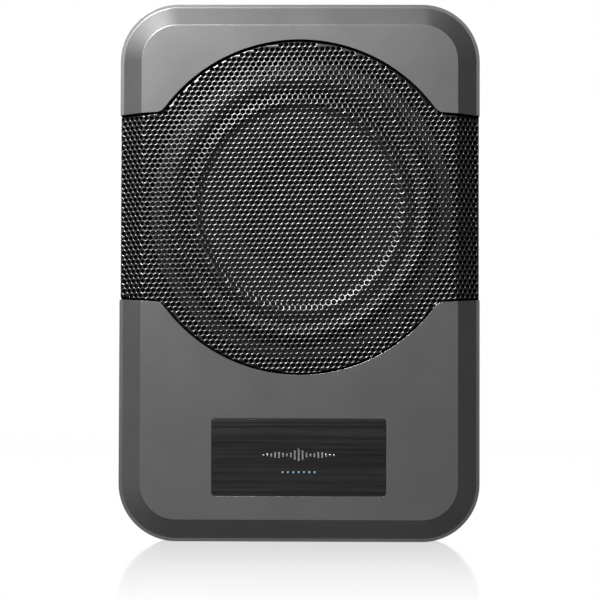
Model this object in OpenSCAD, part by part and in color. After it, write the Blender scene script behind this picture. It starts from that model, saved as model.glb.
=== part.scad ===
// Compact powered subwoofer for a car, standing on its short end.
// X runs across the width, Y from the front (minus) to the back (plus), Z up.

/* [Case] */
// Overall width
body_w = 231; // [229:0.5:236]
// Overall height, standing on the short end
body_h = 345; // [343:0.5:352]
// Overall depth with the rubber feet
body_d = 72; // [72:0.5:76]
// Corner radius seen from the front
corner_r = 37; // [36:0.5:38]
// Width of the flat ledge round the front cover
ledge_w = 2.1; // [1.8:0.1:2.6]
// Width of the sloping border seen from the front
bevel_w = 12; // [11:0.1:12.5]
// Depth of the sloping border
bevel_depth = 7; // [6.5:0.1:7]
// Depth of the front cover, from its face to the parting line
cover_depth = 26; // [26:0.5:27]

/* [Grille] */
// Height of the middle of the speaker above the base
driver_z = 214; // [213:0.5:215]
// Radius of the round opening in the front cover
opening_r = 107.6; // [107:0.1:108]
// Half the height of the grille band
band_half = 60.8; // [60:0.1:62]
// Dark gap between the cover and the grille sheet
grille_gap = 1.8; // [1.5:0.1:2]
// How far the grille sheet lies under the cover's face
grille_drop = 2.2; // [2.2:0.1:2.4]
// Thickness of the grille sheet
grille_t = 1; // [0.8:0.1:1]

/* [Badge] */
// Width of the badge plate
badge_w = 110.8; // [108:0.2:116]
// Height of the badge plate
badge_h = 48.9; // [46:0.1:52]
// Height of the middle of the badge above the base
badge_z = 53.8; // [50:0.1:56]

/* [Speaker] */
// Outer radius of the speaker frame
flange_r = 104; // [103:0.5:104]
// Radius of the paper cone
cone_r = 70; // [69:0.5:70]
// Radius of the dust cap
cap_r = 42; // [38:0.5:44]
// Outer radius of the voice coil former
former_r = 19; // [19:0.1:19]
// Outer radius of the ring magnet
magnet_r = 60; // [54:1:60]

/* [Controls] */
// Height of the middle of the connector bay above the base
bay_z = 100; // [99:1:101]
// Height of the connector bay
bay_h = 116; // [114:1:116]
// Depth of the connector bay from the side of the case
bay_depth = 11; // [11:0.5:12]
// Travel of the phase slider
phase_travel = 4; // [3:0.5:4]

/* [Hidden] */
$fn = 96;

// Depth positions, front to back
front_y = -body_d / 2;
ledge_y = front_y + bevel_depth;
split_y = front_y + cover_depth;
foot_proud = 1.5;
back_y = body_d / 2 - foot_proud;

// Front cover
cover_wall = 4;
cover_plate = 3;
deep_inset = 15.5;
band_slope = 1.6;
tip_r = 7;
recess_side = 3.3;
recess_drop = grille_drop + 2.1;
grille_side = 0.4;
wrap_end_y = -16;
shelf_back = -27.2;
shelf_hole_r = 98;
band_wall_x = 109.2;

// Rear case
case_wall = 2;
back_chamfer = 3;
groove_w = 1.2;
groove_depth = 0.8;
back_inner = back_y - case_wall;
cover_posts = [[98, 17.5], [98, 326.5], [105, 168], [105, 260]];
mount_mid_z = 172;
insert_x = 85;
insert_z = 125;
foot_x = 70;
foot_z = 142;
foot_r = 8;
board_posts = [[-88, 20], [78, 20], [-88, 92], [78, 92]];

// Embossed rings of the grille, as radius and depth under the cover's face
emboss_steps = [
    [0, 1.2], [30, 1.35], [62.5, 1.7], [66.7, 0.1], [74.4, 2.1], [82, 0.1], [grille_r() + 0.4, grille_drop]
];
function grille_r() = opening_r - grille_gap;

// Speaker layers along Y
gasket_t = 1.3;
lip_t = 0.8;
flange_front = shelf_back + gasket_t + lip_t;
flange_t = 1.8;
frame_seat_y = 3;
plate_t = 6;
magnet_t = 14;
yoke_t = 6;
screw_ring_r = 101;
screw_count = 8;
roll_inner_r = 72.5;
roll_outer_r = 85.5;
roll_h = 4.6;
edge_gap = 0.3;
neck_y = -10;

// Amplifier
board_y = 20;
board_t = 1.6;

// Connector bay on the right side
bay_x = body_w / 2 - bay_depth;
bay_y0 = -5;
bay_y1 = 27;
bay_mid_y = (bay_y0 + bay_y1) / 2;
bay_wall = 1.6;
panel_t = 1.6;
control_x = 88;
power_z = bay_z - 46;
speaker_z = bay_z - 26;
rca_z = bay_z - 7;
rca_half_gap = 7;
jack_z = bay_z + 9;
gain_z = bay_z + 22;
lowpass_z = bay_z + 38;
phase_z = bay_z + 50;
socket_depth = 11;
knob_r = 5.4;
shaft_r = 2.95;
pot_bore_r = 3;

// ---- helpers -------------------------------------------------------------

// Extrudes an outline drawn in X and Z from depth y0 to depth y1
module slab(y0, y1) {
    translate([0, y1, 0]) rotate([90, 0, 0]) linear_extrude(y1 - y0) children();
}

// Outline of the case seen from the front, drawn inset from its edge
module case_outline(inset) {
    half_w = body_w / 2 - inset;
    r = corner_r - inset;
    translate([-half_w, corner_r]) square([2 * half_w, body_h - 2 * corner_r]);
    translate([-half_w + r, inset]) square([2 * (half_w - r), body_h - 2 * inset]);
    for (x = [-1, 1], z = [corner_r, body_h - corner_r])
        translate([x * (body_w / 2 - corner_r), z]) circle(r);
}

// Sloping border between two insets of the case outline
module case_frustum(y0, y1, inset0, inset1) {
    run_x = body_w / 2 - corner_r;
    half0 = body_w / 2 - inset0;
    half1 = body_w / 2 - inset1;
    for (x = [-run_x, run_x], z = [corner_r, body_h - corner_r])
        translate([x, y0, z]) rotate([-90, 0, 0])
            cylinder(h = y1 - y0, r1 = corner_r - inset0, r2 = corner_r - inset1);
    translate([0, 0, corner_r]) linear_extrude(body_h - 2 * corner_r)
        polygon([[-half0, y0], [half0, y0], [half1, y1], [-half1, y1]]);
    translate([-run_x, 0, 0]) rotate([90, 0, 90]) linear_extrude(2 * run_x)
        polygon([[y0, inset0], [y0, body_h - inset0], [y1, body_h - inset1], [y1, inset1]]);
}

// Solid of the front cover, drawn in from the sides and lowered from the front
module cover_block(side, drop) {
    slab(ledge_y + drop, split_y) case_outline(side);
    case_frustum(front_y + drop, ledge_y + drop, ledge_w + bevel_w + side, ledge_w + side);
}

// One quarter of the grille opening, from its side to its top: band edge, rounded corner, arc
function opening_quarter(shrink) =
    let (
        r = opening_r - shrink,
        half = band_half - shrink,
        corner = tip_r + shrink,
        corner_z = half + corner,
        corner_x = sqrt(pow(r + corner, 2) - pow(corner_z, 2)),
        meet = atan2(corner_z, corner_x)
    )
    concat(
        [[body_w / 2 + 1, half - band_slope]],
        [for (k = [0 : 6]) let (a = 270 - k / 6 * (90 - meet)) [corner_x, corner_z] + corner * [cos(a), sin(a)]],
        [for (k = [1 : 22]) let (a = meet + k / 22 * (90 - meet)) r * [cos(a), sin(a)]]
    );

// Outline of the grille opening: a circle crossed by a band, with rounded corners
module opening_outline(shrink) {
    right_up = opening_quarter(shrink);
    left_up = [for (k = [len(right_up) - 2 : -1 : 0]) [-right_up[k][0], right_up[k][1]]];
    top = concat(right_up, left_up);
    bottom = [for (k = [len(top) - 1 : -1 : 0]) [top[k][0], -top[k][1]]];
    translate([0, driver_z]) polygon(concat(top, bottom));
}

// Everything drawn in radius and depth is turned round the speaker's axis
module at_driver() {
    translate([0, 0, driver_z]) rotate([-90, 0, 0]) children();
}

// Flat ring round the speaker's axis
module driver_ring(r_in, r_out, y0, y1) {
    at_driver() translate([0, 0, y0]) difference() {
        cylinder(h = y1 - y0, r = r_out);
        translate([0, 0, -1]) cylinder(h = y1 - y0 + 2, r = r_in);
    }
}

// Cylinder along Y
module rod_y(x, z, r, y0, y1) {
    translate([x, y0, z]) rotate([-90, 0, 0]) cylinder(h = y1 - y0, r = r);
}

// Cylinder along X
module rod_x(y, z, r, x0, x1) {
    translate([x0, y, z]) rotate([0, 90, 0]) cylinder(h = x1 - x0, r = r);
}

// Box given by its two opposite corners
module span(low, high) {
    translate(low) cube(high - low);
}

// Rectangle with rounded corners, centred
module rounded_rect(w, h, r) {
    square([w, h - 2 * r], center = true);
    square([w - 2 * r, h], center = true);
    for (x = [-1, 1], z = [-1, 1]) translate([x * (w / 2 - r), z * (h / 2 - r)]) circle(r);
}

// Wire swept along a row of points, with eight sides
function unit(v) = v / norm(v);
function heading(p, i) = unit(p[min(i + 1, len(p) - 1)] - p[max(i - 1, 0)]);
function sideways(d) = unit(cross(d, abs(d[0]) > 0.8 ? [0, 0, 1] : [1, 0, 0]));
module wire(p, r) {
    sides = 8;
    rings = len(p);
    points = [
        for (i = [0 : rings - 1], k = [0 : sides - 1])
            let (d = heading(p, i), u = sideways(d), v = cross(d, u), a = 360 * k / sides)
                p[i] + r * (cos(a) * u + sin(a) * v)
    ];
    walls = [
        for (i = [0 : rings - 2], k = [0 : sides - 1])
            let (n = (k + 1) % sides)
                [i * sides + k, (i + 1) * sides + k, (i + 1) * sides + n, i * sides + n]
    ];
    first = [for (k = [0 : sides - 1]) k];
    last = [for (k = [sides - 1 : -1 : 0]) (rings - 1) * sides + k];
    polyhedron(points, concat(walls, [first], [last]), convexity = 6);
}

// Smooth points between the ends of a wire that leaves along two headings
function bend(a, b, c, d, n) = [
    for (i = [0 : n])
        let (t = i / n, s = 1 - t)
            s * s * s * a + 3 * s * s * t * b + 3 * s * t * t * c + t * t * t * d
];

// ---- case ----------------------------------------------------------------

module front_cover() {
    color("#5b5e62") difference() {
        cover_block(0, 0);
        // The grille's sunk seat, which also runs down the sides
        difference() {
            slab(front_y - 1, wrap_end_y) opening_outline(0);
            cover_block(recess_side, recess_drop);
        }
        // Hollow under the front plate, clear of the shelf that carries the speaker
        slab(front_y + cover_plate, shelf_back) difference() {
            case_outline(deep_inset);
            translate([0, driver_z]) circle(opening_r + 3.4);
            translate([-body_w, driver_z - band_half - 3]) square([2 * body_w, 2 * band_half + 6]);
        }
        slab(shelf_back, ledge_y + 3) union() {
            case_outline(deep_inset);
            translate([0, driver_z]) circle(flange_r + 0.6);
        }
        slab(ledge_y + 3, split_y + 1) difference() {
            case_outline(cover_wall);
            for (s = [-1, 1]) translate([s * (band_wall_x + 5), driver_z])
                square([10, 2 * band_half + 6], center = true);
            for (s = [-1, 1], p = cover_posts) translate([s * p[0], p[1]]) circle(4);
        }
        rod_y(0, driver_z, shelf_hole_r, front_y - 1, shelf_back + 1);
        // Seat of the badge
        slab(front_y - 1, front_y + 1.2) translate([0, badge_z]) rounded_rect(badge_w + 0.8, badge_h + 0.8, 2.2);
        // Groove for the case gasket
        slab(split_y - 1.2, split_y + 1) difference() {
            case_outline(1.4);
            case_outline(2.6);
        }
        for (s = [-1, 1], p = cover_posts) rod_y(s * p[0], p[1], 1.6, -22, split_y + 1);
        for (k = [0 : screw_count - 1]) let (a = 360 * (k + 0.5) / screw_count)
            rod_y(screw_ring_r * cos(a), driver_z + screw_ring_r * sin(a), 1.5, shelf_back - 3, shelf_back + 1);
    }
}

module rear_case() {
    color("#1b1c1e") difference() {
        union() {
            difference() {
                union() {
                    slab(split_y, split_y + groove_w) case_outline(groove_depth);
                    slab(split_y + groove_w, back_y - back_chamfer) case_outline(0);
                    case_frustum(back_y - back_chamfer, back_y, 0, back_chamfer);
                }
                slab(split_y - 1, back_inner) case_outline(case_wall + 0.6);
            }
            // Posts for the long screws, the board and the bracket inserts
            for (s = [-1, 1], p = cover_posts) rod_y(s * p[0], p[1], 5, split_y, back_y - 1);
            for (p = board_posts) rod_y(p[0], p[1], 4, board_y + board_t, back_y - 1);
            for (s = [-1, 1], t = [-1, 1]) rod_y(s * insert_x, mount_mid_z + t * insert_z, 5, 26, back_y - 1);
            // Tray round the connector bay
            span(
                [bay_x, bay_y0 - bay_wall, bay_z - bay_h / 2 - bay_wall],
                [body_w / 2 - 1, bay_y1 + bay_wall, bay_z + bay_h / 2 + bay_wall]
            );
            // Stiffening ribs inside the back
            for (z = [124, 304]) span([-100, back_inner - 2.5, z], [100, back_y - 1, z + 2]);
        }
        span([bay_x - 1, bay_y0, bay_z - bay_h / 2], [body_w, bay_y1, bay_z + bay_h / 2]);
        for (s = [-1, 1], p = cover_posts) {
            rod_y(s * p[0], p[1], 2.1, split_y - 1, back_y + 1);
            rod_y(s * p[0], p[1], 4, back_y - 3.6, back_y + 1);
        }
        for (p = board_posts) rod_y(p[0], p[1], 1.3, board_y, back_y - 4);
        for (s = [-1, 1], t = [-1, 1]) {
            rod_y(s * insert_x, mount_mid_z + t * insert_z, 3.5, 27.5, back_y + 1);
            rod_y(s * foot_x, mount_mid_z + t * foot_z, foot_r + 0.2, back_y - 1, back_y + 1);
        }
        // Recess for the blank rating label
        slab(back_y - 0.4, back_y + 1) translate([0, 90]) rounded_rect(90.6, 40.6, 2);
        for (s = [-1, 1], t = [-1, 1])
            rod_x(bay_mid_y + s * 16.8, bay_z + t * 58.8, 0.9, bay_x - 1, bay_x + 5);
    }
}

module case_gasket() {
    color("#101010") slab(split_y - 1.2, split_y) difference() {
        case_outline(1.5);
        case_outline(2.5);
    }
}

// Solid under the grille sheet's outer face, moved inwards by the sheet's thickness
module grille_solid(inward) {
    bend_inset = ledge_w + bevel_w + grille_side + inward;
    rise = grille_drop;
    rim_r = grille_r() + 0.4;
    cover_block(grille_side + inward, grille_drop + inward);
    intersection() {
        at_driver() rotate_extrude() polygon(concat(
            [for (p = emboss_steps) [p[0], front_y + p[1] + inward]],
            [[rim_r, split_y], [0, split_y]]
        ));
        union() {
            cover_block(grille_side + inward, grille_drop + inward);
            case_frustum(
                front_y + inward, front_y + rise + inward,
                bend_inset + rise * bevel_w / bevel_depth, bend_inset
            );
        }
    }
}

module grille() {
    color("#1d1e20") intersection() {
        difference() {
            grille_solid(0);
            grille_solid(grille_t);
            slab(split_y - 5, split_y + 1) case_outline(0);
        }
        slab(front_y - 1, wrap_end_y - 0.6) opening_outline(grille_gap);
    }
}

module grille_frame() {
    color("#0c0c0d") difference() {
        intersection() {
            difference() {
                cover_block(grille_side + grille_t + 0.1, grille_drop + grille_t + 0.1);
                cover_block(recess_side, recess_drop);
            }
            slab(front_y - 1, wrap_end_y - 0.1) opening_outline(0.15);
        }
        rod_y(0, driver_z, shelf_hole_r, front_y - 1, 0);
    }
}

module badge_plate() {
    color("#202022") slab(front_y + 0.3, front_y + 1.2)
        translate([0, badge_z]) rounded_rect(badge_w, badge_h, 1.8);
}

// Low-frequency wave, as upright bars whose heights follow a sine in an envelope
module badge_emblem() {
    bars = 19;
    pitch = 2.5;
    color("#d9dbde") for (k = [0 : bars - 1]) {
        u = (k - (bars - 1) / 2) / ((bars - 1) / 2);
        h = 1.4 + 6.2 * pow(cos(80 * u), 2) * (0.55 + 0.45 * cos(540 * u));
        slab(front_y + 0.05, front_y + 0.3)
            translate([(k - (bars - 1) / 2) * pitch, badge_z + 1.5]) rounded_rect(1.1, h, 0.5);
    }
    color("#7d9bb5") slab(front_y + 0.05, front_y + 0.3)
        for (k = [-3 : 3]) translate([k * 3.4, badge_z - 9.5]) circle(0.7);
}

// ---- speaker -------------------------------------------------------------

module screw_circle(r, y0, y1) {
    for (k = [0 : screw_count - 1]) let (a = 360 * (k + 0.5) / screw_count)
        rod_y(screw_ring_r * cos(a), driver_z + screw_ring_r * sin(a), r, y0, y1);
}

module driver_gasket() {
    color("#6a6c6e") difference() {
        driver_ring(90, flange_r - 0.5, shelf_back, shelf_back + gasket_t);
        screw_circle(1.9, shelf_back - 1, flange_front);
    }
}

module driver_basket() {
    seat_r = 63.6;
    color("#2a2b2d") difference() {
        at_driver() rotate_extrude() polygon([
            [86.5, flange_front], [flange_r, flange_front], [flange_r, flange_front + flange_t],
            [88, flange_front + flange_t], [seat_r, frame_seat_y], [26, frame_seat_y], [26, 1.2],
            [51.6, 1.2], [51.6, -3.2], [56, -3.2], [56, 1.2], [62.4, 1.2]
        ]);
        screw_circle(1.9, flange_front - 1, flange_front + 5);
        // Windows between the arms
        for (k = [0 : 5]) at_driver() rotate([0, 0, 60 * k]) translate([0, 0, -10.5])
            intersection() {
                translate([60, -19, -7]) cube([40, 38, 14]);
                cylinder(h = 40, r = 90, center = true);
            }
    }
}

// Half-roll edge between the cone and the frame
module surround() {
    mid_r = (roll_inner_r + roll_outer_r) / 2;
    half = (roll_outer_r - roll_inner_r) / 2;
    steps = 12;
    base = flange_front - lip_t;
    function crest(u) = base - roll_h * pow(cos(90 * u), 0.8);
    outer = [for (i = [-steps : steps]) [mid_r + half * i / steps, crest(i / steps)]];
    inner = [for (i = [steps : -1 : -steps]) [mid_r + (half - lip_t) * i / steps, crest(i / steps) + lip_t]];
    color("#232325") at_driver() rotate_extrude() polygon(concat(
        [[cone_r - 2, base]], outer, [[89.5, base], [89.5, flange_front]], inner, [[cone_r - 2, flange_front]]
    ));
}

// Corrugated cloth disc that centres the voice coil
module spider() {
    waves = 5;
    steps = 40;
    r0 = former_r + edge_gap;
    r1 = 55.5;
    flat = 0.12;
    function wave(u) = u < flat || u > 1 - flat ? 0 : 1.1 * sin(360 * waves * (u - flat) / (1 - 2 * flat));
    top = [for (i = [0 : steps]) let (u = i / steps) [r0 + (r1 - r0) * u, -4 - wave(u)]];
    low = [for (i = [steps : -1 : 0]) let (u = i / steps) [r0 + (r1 - r0) * u, -3.3 - wave(u)]];
    color("#b48a4a") at_driver() rotate_extrude() polygon(concat(top, low));
}

module cone() {
    edge_y = flange_front + edge_gap;
    color("#2f3033") at_driver() rotate_extrude() polygon([
        [former_r, neck_y], [30, neck_y - 4.4], [cap_r, neck_y - 7.6], [56, edge_y - 1.4 + 1.6], [cone_r, edge_y],
        [cone_r, edge_y + 1.2], [56, edge_y + 1.6], [cap_r, neck_y - 6.2], [30, neck_y - 3], [former_r, neck_y + 1.6]
    ]);
}

module dust_cap() {
    rim_y = neck_y - 8.8;
    color("#121214") at_driver() rotate_extrude() polygon([
        [0, rim_y + 5.2], [14, rim_y + 4.6], [28, rim_y + 2.8], [cap_r - 3, rim_y + 0.4], [cap_r, rim_y],
        [cap_r, rim_y + 0.9], [cap_r - 3, rim_y + 1.2], [28, rim_y + 3.5], [14, rim_y + 5.3], [0, rim_y + 6]
    ]);
}

module coil_former() {
    color("#c9b48a") driver_ring(former_r - 0.4, former_r, neck_y, 15);
}

module voice_coil() {
    color("#b5642c") driver_ring(former_r, former_r + 0.8, 0, 12);
}

module top_plate() {
    color("#8a8d90") driver_ring(former_r + 1.6, 55, frame_seat_y, frame_seat_y + plate_t);
}

module magnet() {
    color("#2b2b2e") driver_ring(30, magnet_r, frame_seat_y + plate_t, frame_seat_y + plate_t + magnet_t);
}

module pole_yoke() {
    y0 = frame_seat_y + plate_t + magnet_t;
    color("#8a8d90") at_driver() difference() {
        union() {
            translate([0, 0, y0]) cylinder(h = yoke_t, r = magnet_r - 3);
            translate([0, 0, frame_seat_y]) cylinder(h = y0 - frame_seat_y, r = former_r - 1.4);
        }
        cylinder(h = 60, r = 6);
    }
}

module damping_pad() {
    color("#3a3a3c") rod_y(0, driver_z, 40, frame_seat_y + plate_t + magnet_t + yoke_t, back_inner);
}

module terminal_strip() {
    color("#a8752d") span([-10, -17, driver_z - 84.5], [10, -6, driver_z - 82.5]);
    color("#c8c8c8") for (x = [-6, 6]) span([x - 1.5, -13, driver_z - 89], [x + 1.5, -12.2, driver_z - 84.5]);
}

module tinsel_leads() {
    color("#c98a4b") for (s = [-1, 1]) wire(bend(
        [6 * s, -12, driver_z - 81.7], [34 * s, -12, driver_z - 80.5],
        [36 * s, -5, driver_z - 58], [10 * s, -14.2, driver_z - 38], 16
    ), 0.7);
}

module driver_wires() {
    for (s = [-1, 1]) color(s < 0 ? "#1c1c1c" : "#8f1d1d") wire(bend(
        [6 * s, -12.6, driver_z - 89.5], [6 * s, -12, driver_z - 104],
        [5 * s - 24, 4, driver_z - 116], [5 * s - 24, board_y - 0.9, driver_z - 119], 18
    ), 1.2);
}

// ---- amplifier -----------------------------------------------------------

module amp_board() {
    color("#1d5a3a") difference() {
        span([-92, board_y, 12], [84, board_y + board_t, 100]);
        for (p = board_posts) rod_y(p[0], p[1], 1.6, board_y - 1, board_y + 3);
    }
}

module heatsink() {
    fins = 9;
    color("#9a9da0") difference() {
        span([-70, -2, 30], [50, board_y, 44]);
        for (k = [0 : fins - 1]) span([-66 + k * 13, -3, 29], [-58 + k * 13, 15, 38]);
    }
}

module output_transistors() {
    color("#161616") for (x = [-58, -34, -10, 14]) span([x - 5, 2, 44], [x + 5, 17, 48.6]);
}

module filter_capacitors() {
    color("#23262c") for (x = [-78, -56, -34]) rod_y(x, 72, 9, -10, board_y);
}

module power_transformer() {
    color("#b06a2a") translate([6, board_y, 76]) rotate([90, 0, 0]) rotate_extrude() translate([14, 10]) difference() {
        square([16, 20], center = true);
        square([3, 3], center = true);
    }
}

module output_inductor() {
    color("#8a5a2b") translate([52, board_y, 76]) rotate([90, 0, 0]) rotate_extrude() translate([8, 5])
        square([7, 10], center = true);
}

module fuse_holder() {
    color("#111113") difference() {
        span([62, 8, 36], [80, board_y, 52]);
        span([64, 7, 41], [78, 17, 47]);
    }
}

module fuse() {
    color("#b03a2e") span([64.2, 2, 41.2], [77.8, 9, 46.8]);
    color("#c9c9c9") for (x = [66, 71.5]) span([x, 9, 43.4], [x + 4.5, 16.8, 44.4]);
}

// ---- connector bay -------------------------------------------------------

module control_board() {
    color("#1d5a3a") difference() {
        span([control_x, -3, bay_z - 54], [control_x + 1.6, 25, bay_z + 56]);
        span([control_x - 1, 24, bay_z - 58], [control_x + 3, 26, bay_z - 46]);
    }
}

module connector_panel() {
    x0 = bay_x - panel_t;
    color("#17181a") difference() {
        span([x0, bay_y0 - 3, bay_z - bay_h / 2 - 3], [bay_x, bay_y1 + 3, bay_z + bay_h / 2 + 3]);
        span([x0 - 1, bay_mid_y - 8, power_z - 7.5], [bay_x + 1, bay_mid_y + 8, power_z + 7.5]);
        span([x0 - 1, bay_mid_y - 9, speaker_z - 6], [bay_x + 1, bay_mid_y + 9, speaker_z + 6]);
        for (s = [-1, 1]) rod_x(bay_mid_y + s * rca_half_gap, rca_z, 3.3, x0 - 1, bay_x + 1);
        rod_x(bay_mid_y - 5, jack_z, 3, x0 - 1, bay_x + 1);
        rod_x(bay_mid_y + 6, jack_z, 1.6, x0 - 1, bay_x + 1);
        for (z = [gain_z, lowpass_z]) rod_x(bay_mid_y, z, 3.6, x0 - 1, bay_x + 1);
        span([x0 - 1, bay_mid_y - 1.6, phase_z - 2.2], [bay_x + 1, bay_mid_y + 1.6, phase_z + 2.2 + phase_travel]);
        for (s = [-1, 1], t = [-1, 1]) rod_x(bay_mid_y + s * 16.8, bay_z + t * 58.8, 1.1, x0 - 1, bay_x + 1);
    }
}

// Open shell of a socket that faces right
module socket_shell(z, half_y, half_z, wall) {
    difference() {
        span(
            [bay_x - socket_depth - 3, bay_mid_y - half_y, z - half_z],
            [bay_x, bay_mid_y + half_y, z + half_z]
        );
        span(
            [bay_x - socket_depth, bay_mid_y - half_y + wall, z - half_z + wall],
            [bay_x + 1, bay_mid_y + half_y - wall, z + half_z - wall]
        );
    }
}

module power_socket() {
    color("#d8d4c6") socket_shell(power_z, 8, 7.5, 1.4);
}

module power_pins() {
    color("#c9a44a") for (y = [-3, 3], z = [-2.7, 2.7])
        rod_x(bay_mid_y + y, power_z + z, 0.9, bay_x - socket_depth, bay_x - socket_depth + 5);
}

module speaker_socket() {
    color("#2a2b2f") socket_shell(speaker_z, 9, 6, 1.3);
}

module speaker_pins() {
    color("#c9c9c9") for (y = [-4.8, -1.6, 1.6, 4.8])
        rod_x(bay_mid_y + y, speaker_z, 0.6, bay_x - socket_depth, bay_x - socket_depth + 5);
}

module rca_shells() {
    color("#d0b056") for (s = [-1, 1]) difference() {
        rod_x(bay_mid_y + s * rca_half_gap, rca_z, 4.15, bay_x, bay_x + 8);
        rod_x(bay_mid_y + s * rca_half_gap, rca_z, 3.3, bay_x - 1, bay_x + 9);
    }
}

module rca_insulators() {
    for (s = [-1, 1]) color(s < 0 ? "#b0201c" : "#e6e6e2") difference() {
        union() {
            rod_x(bay_mid_y + s * rca_half_gap, rca_z, 3.3, bay_x - 3, bay_x + 7);
            span(
                [control_x + 1.6, bay_mid_y + s * rca_half_gap - 5.5, rca_z - 5.5],
                [bay_x - panel_t, bay_mid_y + s * rca_half_gap + 5.5, rca_z + 5.5]
            );
        }
        rod_x(bay_mid_y + s * rca_half_gap, rca_z, 1.7, bay_x - 8, bay_x + 8);
    }
}

module remote_jack() {
    y = bay_mid_y - 5;
    color("#3c3f45") difference() {
        union() {
            rod_x(y, jack_z, 3, bay_x - panel_t - 1, bay_x + 1.4);
            rod_x(y, jack_z, 3.9, bay_x, bay_x + 1);
            span([control_x + 1.6, y - 4, jack_z - 4], [bay_x - panel_t, y + 4, jack_z + 4]);
        }
        rod_x(y, jack_z, 1.8, bay_x - 12.6, bay_x + 2);
    }
}

module power_led() {
    color("#3aa0ff") {
        rod_x(bay_mid_y + 6, jack_z, 1.5, bay_x - 6, bay_x + 0.6);
        rod_x(bay_mid_y + 6, jack_z, 2, bay_x - 7, bay_x - panel_t);
    }
}

// Rotary control without its shaft
module pot_body(z) {
    difference() {
        union() {
            span([control_x + 1.6, bay_mid_y - 5.5, z - 5.5], [bay_x - 5, bay_mid_y + 5.5, z + 5.5]);
            rod_x(bay_mid_y, z, 4.2, bay_x - 5, bay_x - panel_t);
        }
        rod_x(bay_mid_y, z, pot_bore_r, bay_x - 11, bay_x + 1);
    }
}

module gain_pot() {
    color("#3d5c8c") pot_body(gain_z);
}

module lowpass_pot() {
    color("#3d5c8c") pot_body(lowpass_z);
}

// Fluted knob with a pointer groove, on its own shaft
module knob(z) {
    flutes = 18;
    difference() {
        union() {
            rod_x(bay_mid_y, z, shaft_r, bay_x - 10.8, bay_x + 2);
            rod_x(bay_mid_y, z, knob_r, bay_x + 0.8, bay_x + 7);
            translate([bay_x + 7, bay_mid_y, z]) rotate([0, 90, 0])
                cylinder(h = 0.8, r1 = knob_r, r2 = knob_r - 0.8);
        }
        for (k = [0 : flutes - 1]) let (a = 360 * (k + 0.5) / flutes)
            rod_x(bay_mid_y + (knob_r + 0.25) * sin(a), z + (knob_r + 0.25) * cos(a), 0.6, bay_x + 2.6, bay_x + 9);
        span([bay_x + 7, bay_mid_y - 0.5, z + 1], [bay_x + 9, bay_mid_y + 0.5, z + knob_r + 1]);
    }
}

module gain_knob() {
    color("#26282b") knob(gain_z);
}

module lowpass_knob() {
    color("#26282b") knob(lowpass_z);
}

module phase_switch() {
    x1 = bay_x - panel_t;
    z1 = phase_z + phase_travel / 2;
    color("#8b8e92") difference() {
        span([control_x + 1.6, bay_mid_y - 3.5, z1 - 6], [x1, bay_mid_y + 3.5, z1 + 6]);
        span([x1 - 5, bay_mid_y - 1.8, phase_z - 2.6], [x1 + 1, bay_mid_y + 1.8, phase_z + 2.6 + phase_travel]);
    }
}

module phase_slider() {
    color("#1a1b1d") {
        span([bay_x - panel_t - 4.6, bay_mid_y - 1.5, phase_z - 1.9], [bay_x + 1.5, bay_mid_y + 1.5, phase_z + 1.9]);
        for (k = [-1 : 1]) span(
            [bay_x + 1.5, bay_mid_y - 1.5, phase_z + k * 1.3 - 0.35],
            [bay_x + 2.2, bay_mid_y + 1.5, phase_z + k * 1.3 + 0.35]
        );
    }
}

// ---- fasteners and feet --------------------------------------------------

// Pan head with a cross recess, pointing along plus Y
module screw_head(x, z, r, y0, h) {
    difference() {
        rod_y(x, z, r, y0, y0 + h);
        for (q = [[0.5, r * 0.6], [r * 0.6, 0.5]])
            span([x - q[0], y0 + h - 1, z - q[1]], [x + q[0], y0 + h + 1, z + q[1]]);
    }
}

module driver_screws() {
    head_y = flange_front + flange_t;
    color("#3b3d40") for (k = [0 : screw_count - 1]) let (a = 360 * (k + 0.5) / screw_count) {
        x = screw_ring_r * cos(a);
        z = driver_z + screw_ring_r * sin(a);
        screw_head(x, z, 2.9, head_y, 1.8);
        rod_y(x, z, 1.5, shelf_back - 2.6, head_y);
    }
}

module cover_screws() {
    head_y = back_y - 3.6;
    color("#2f3134") for (s = [-1, 1], p = cover_posts) {
        screw_head(s * p[0], p[1], 3.6, head_y, 2.4);
        rod_y(s * p[0], p[1], 1.6, -20, head_y);
    }
}

module board_screws() {
    color("#c0c2c4") for (p = board_posts) {
        rod_y(p[0], p[1], 2.6, board_y - 1.8, board_y);
        rod_y(p[0], p[1], 1.3, board_y, back_y - 6);
    }
}

module panel_screws() {
    x0 = bay_x - panel_t;
    color("#c0c2c4") for (s = [-1, 1], t = [-1, 1]) {
        rod_x(bay_mid_y + s * 16.8, bay_z + t * 58.8, 1.2, x0 - 1.2, x0);
        rod_x(bay_mid_y + s * 16.8, bay_z + t * 58.8, 0.9, x0, bay_x + 4);
    }
}

module bracket_inserts() {
    color("#c4a24e") for (s = [-1, 1], t = [-1, 1]) difference() {
        rod_y(s * insert_x, mount_mid_z + t * insert_z, 3.5, 27.5, back_y);
        rod_y(s * insert_x, mount_mid_z + t * insert_z, 2, 27, back_y + 1);
    }
}

module rubber_feet() {
    color("#0e0e0f") for (s = [-1, 1], t = [-1, 1])
        rod_y(s * foot_x, mount_mid_z + t * foot_z, foot_r, back_y - 1, back_y + foot_proud);
}

module rating_label() {
    color("#8f9296") slab(back_y - 0.4, back_y - 0.1) translate([0, 90]) rounded_rect(90, 40, 1.8);
}

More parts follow.
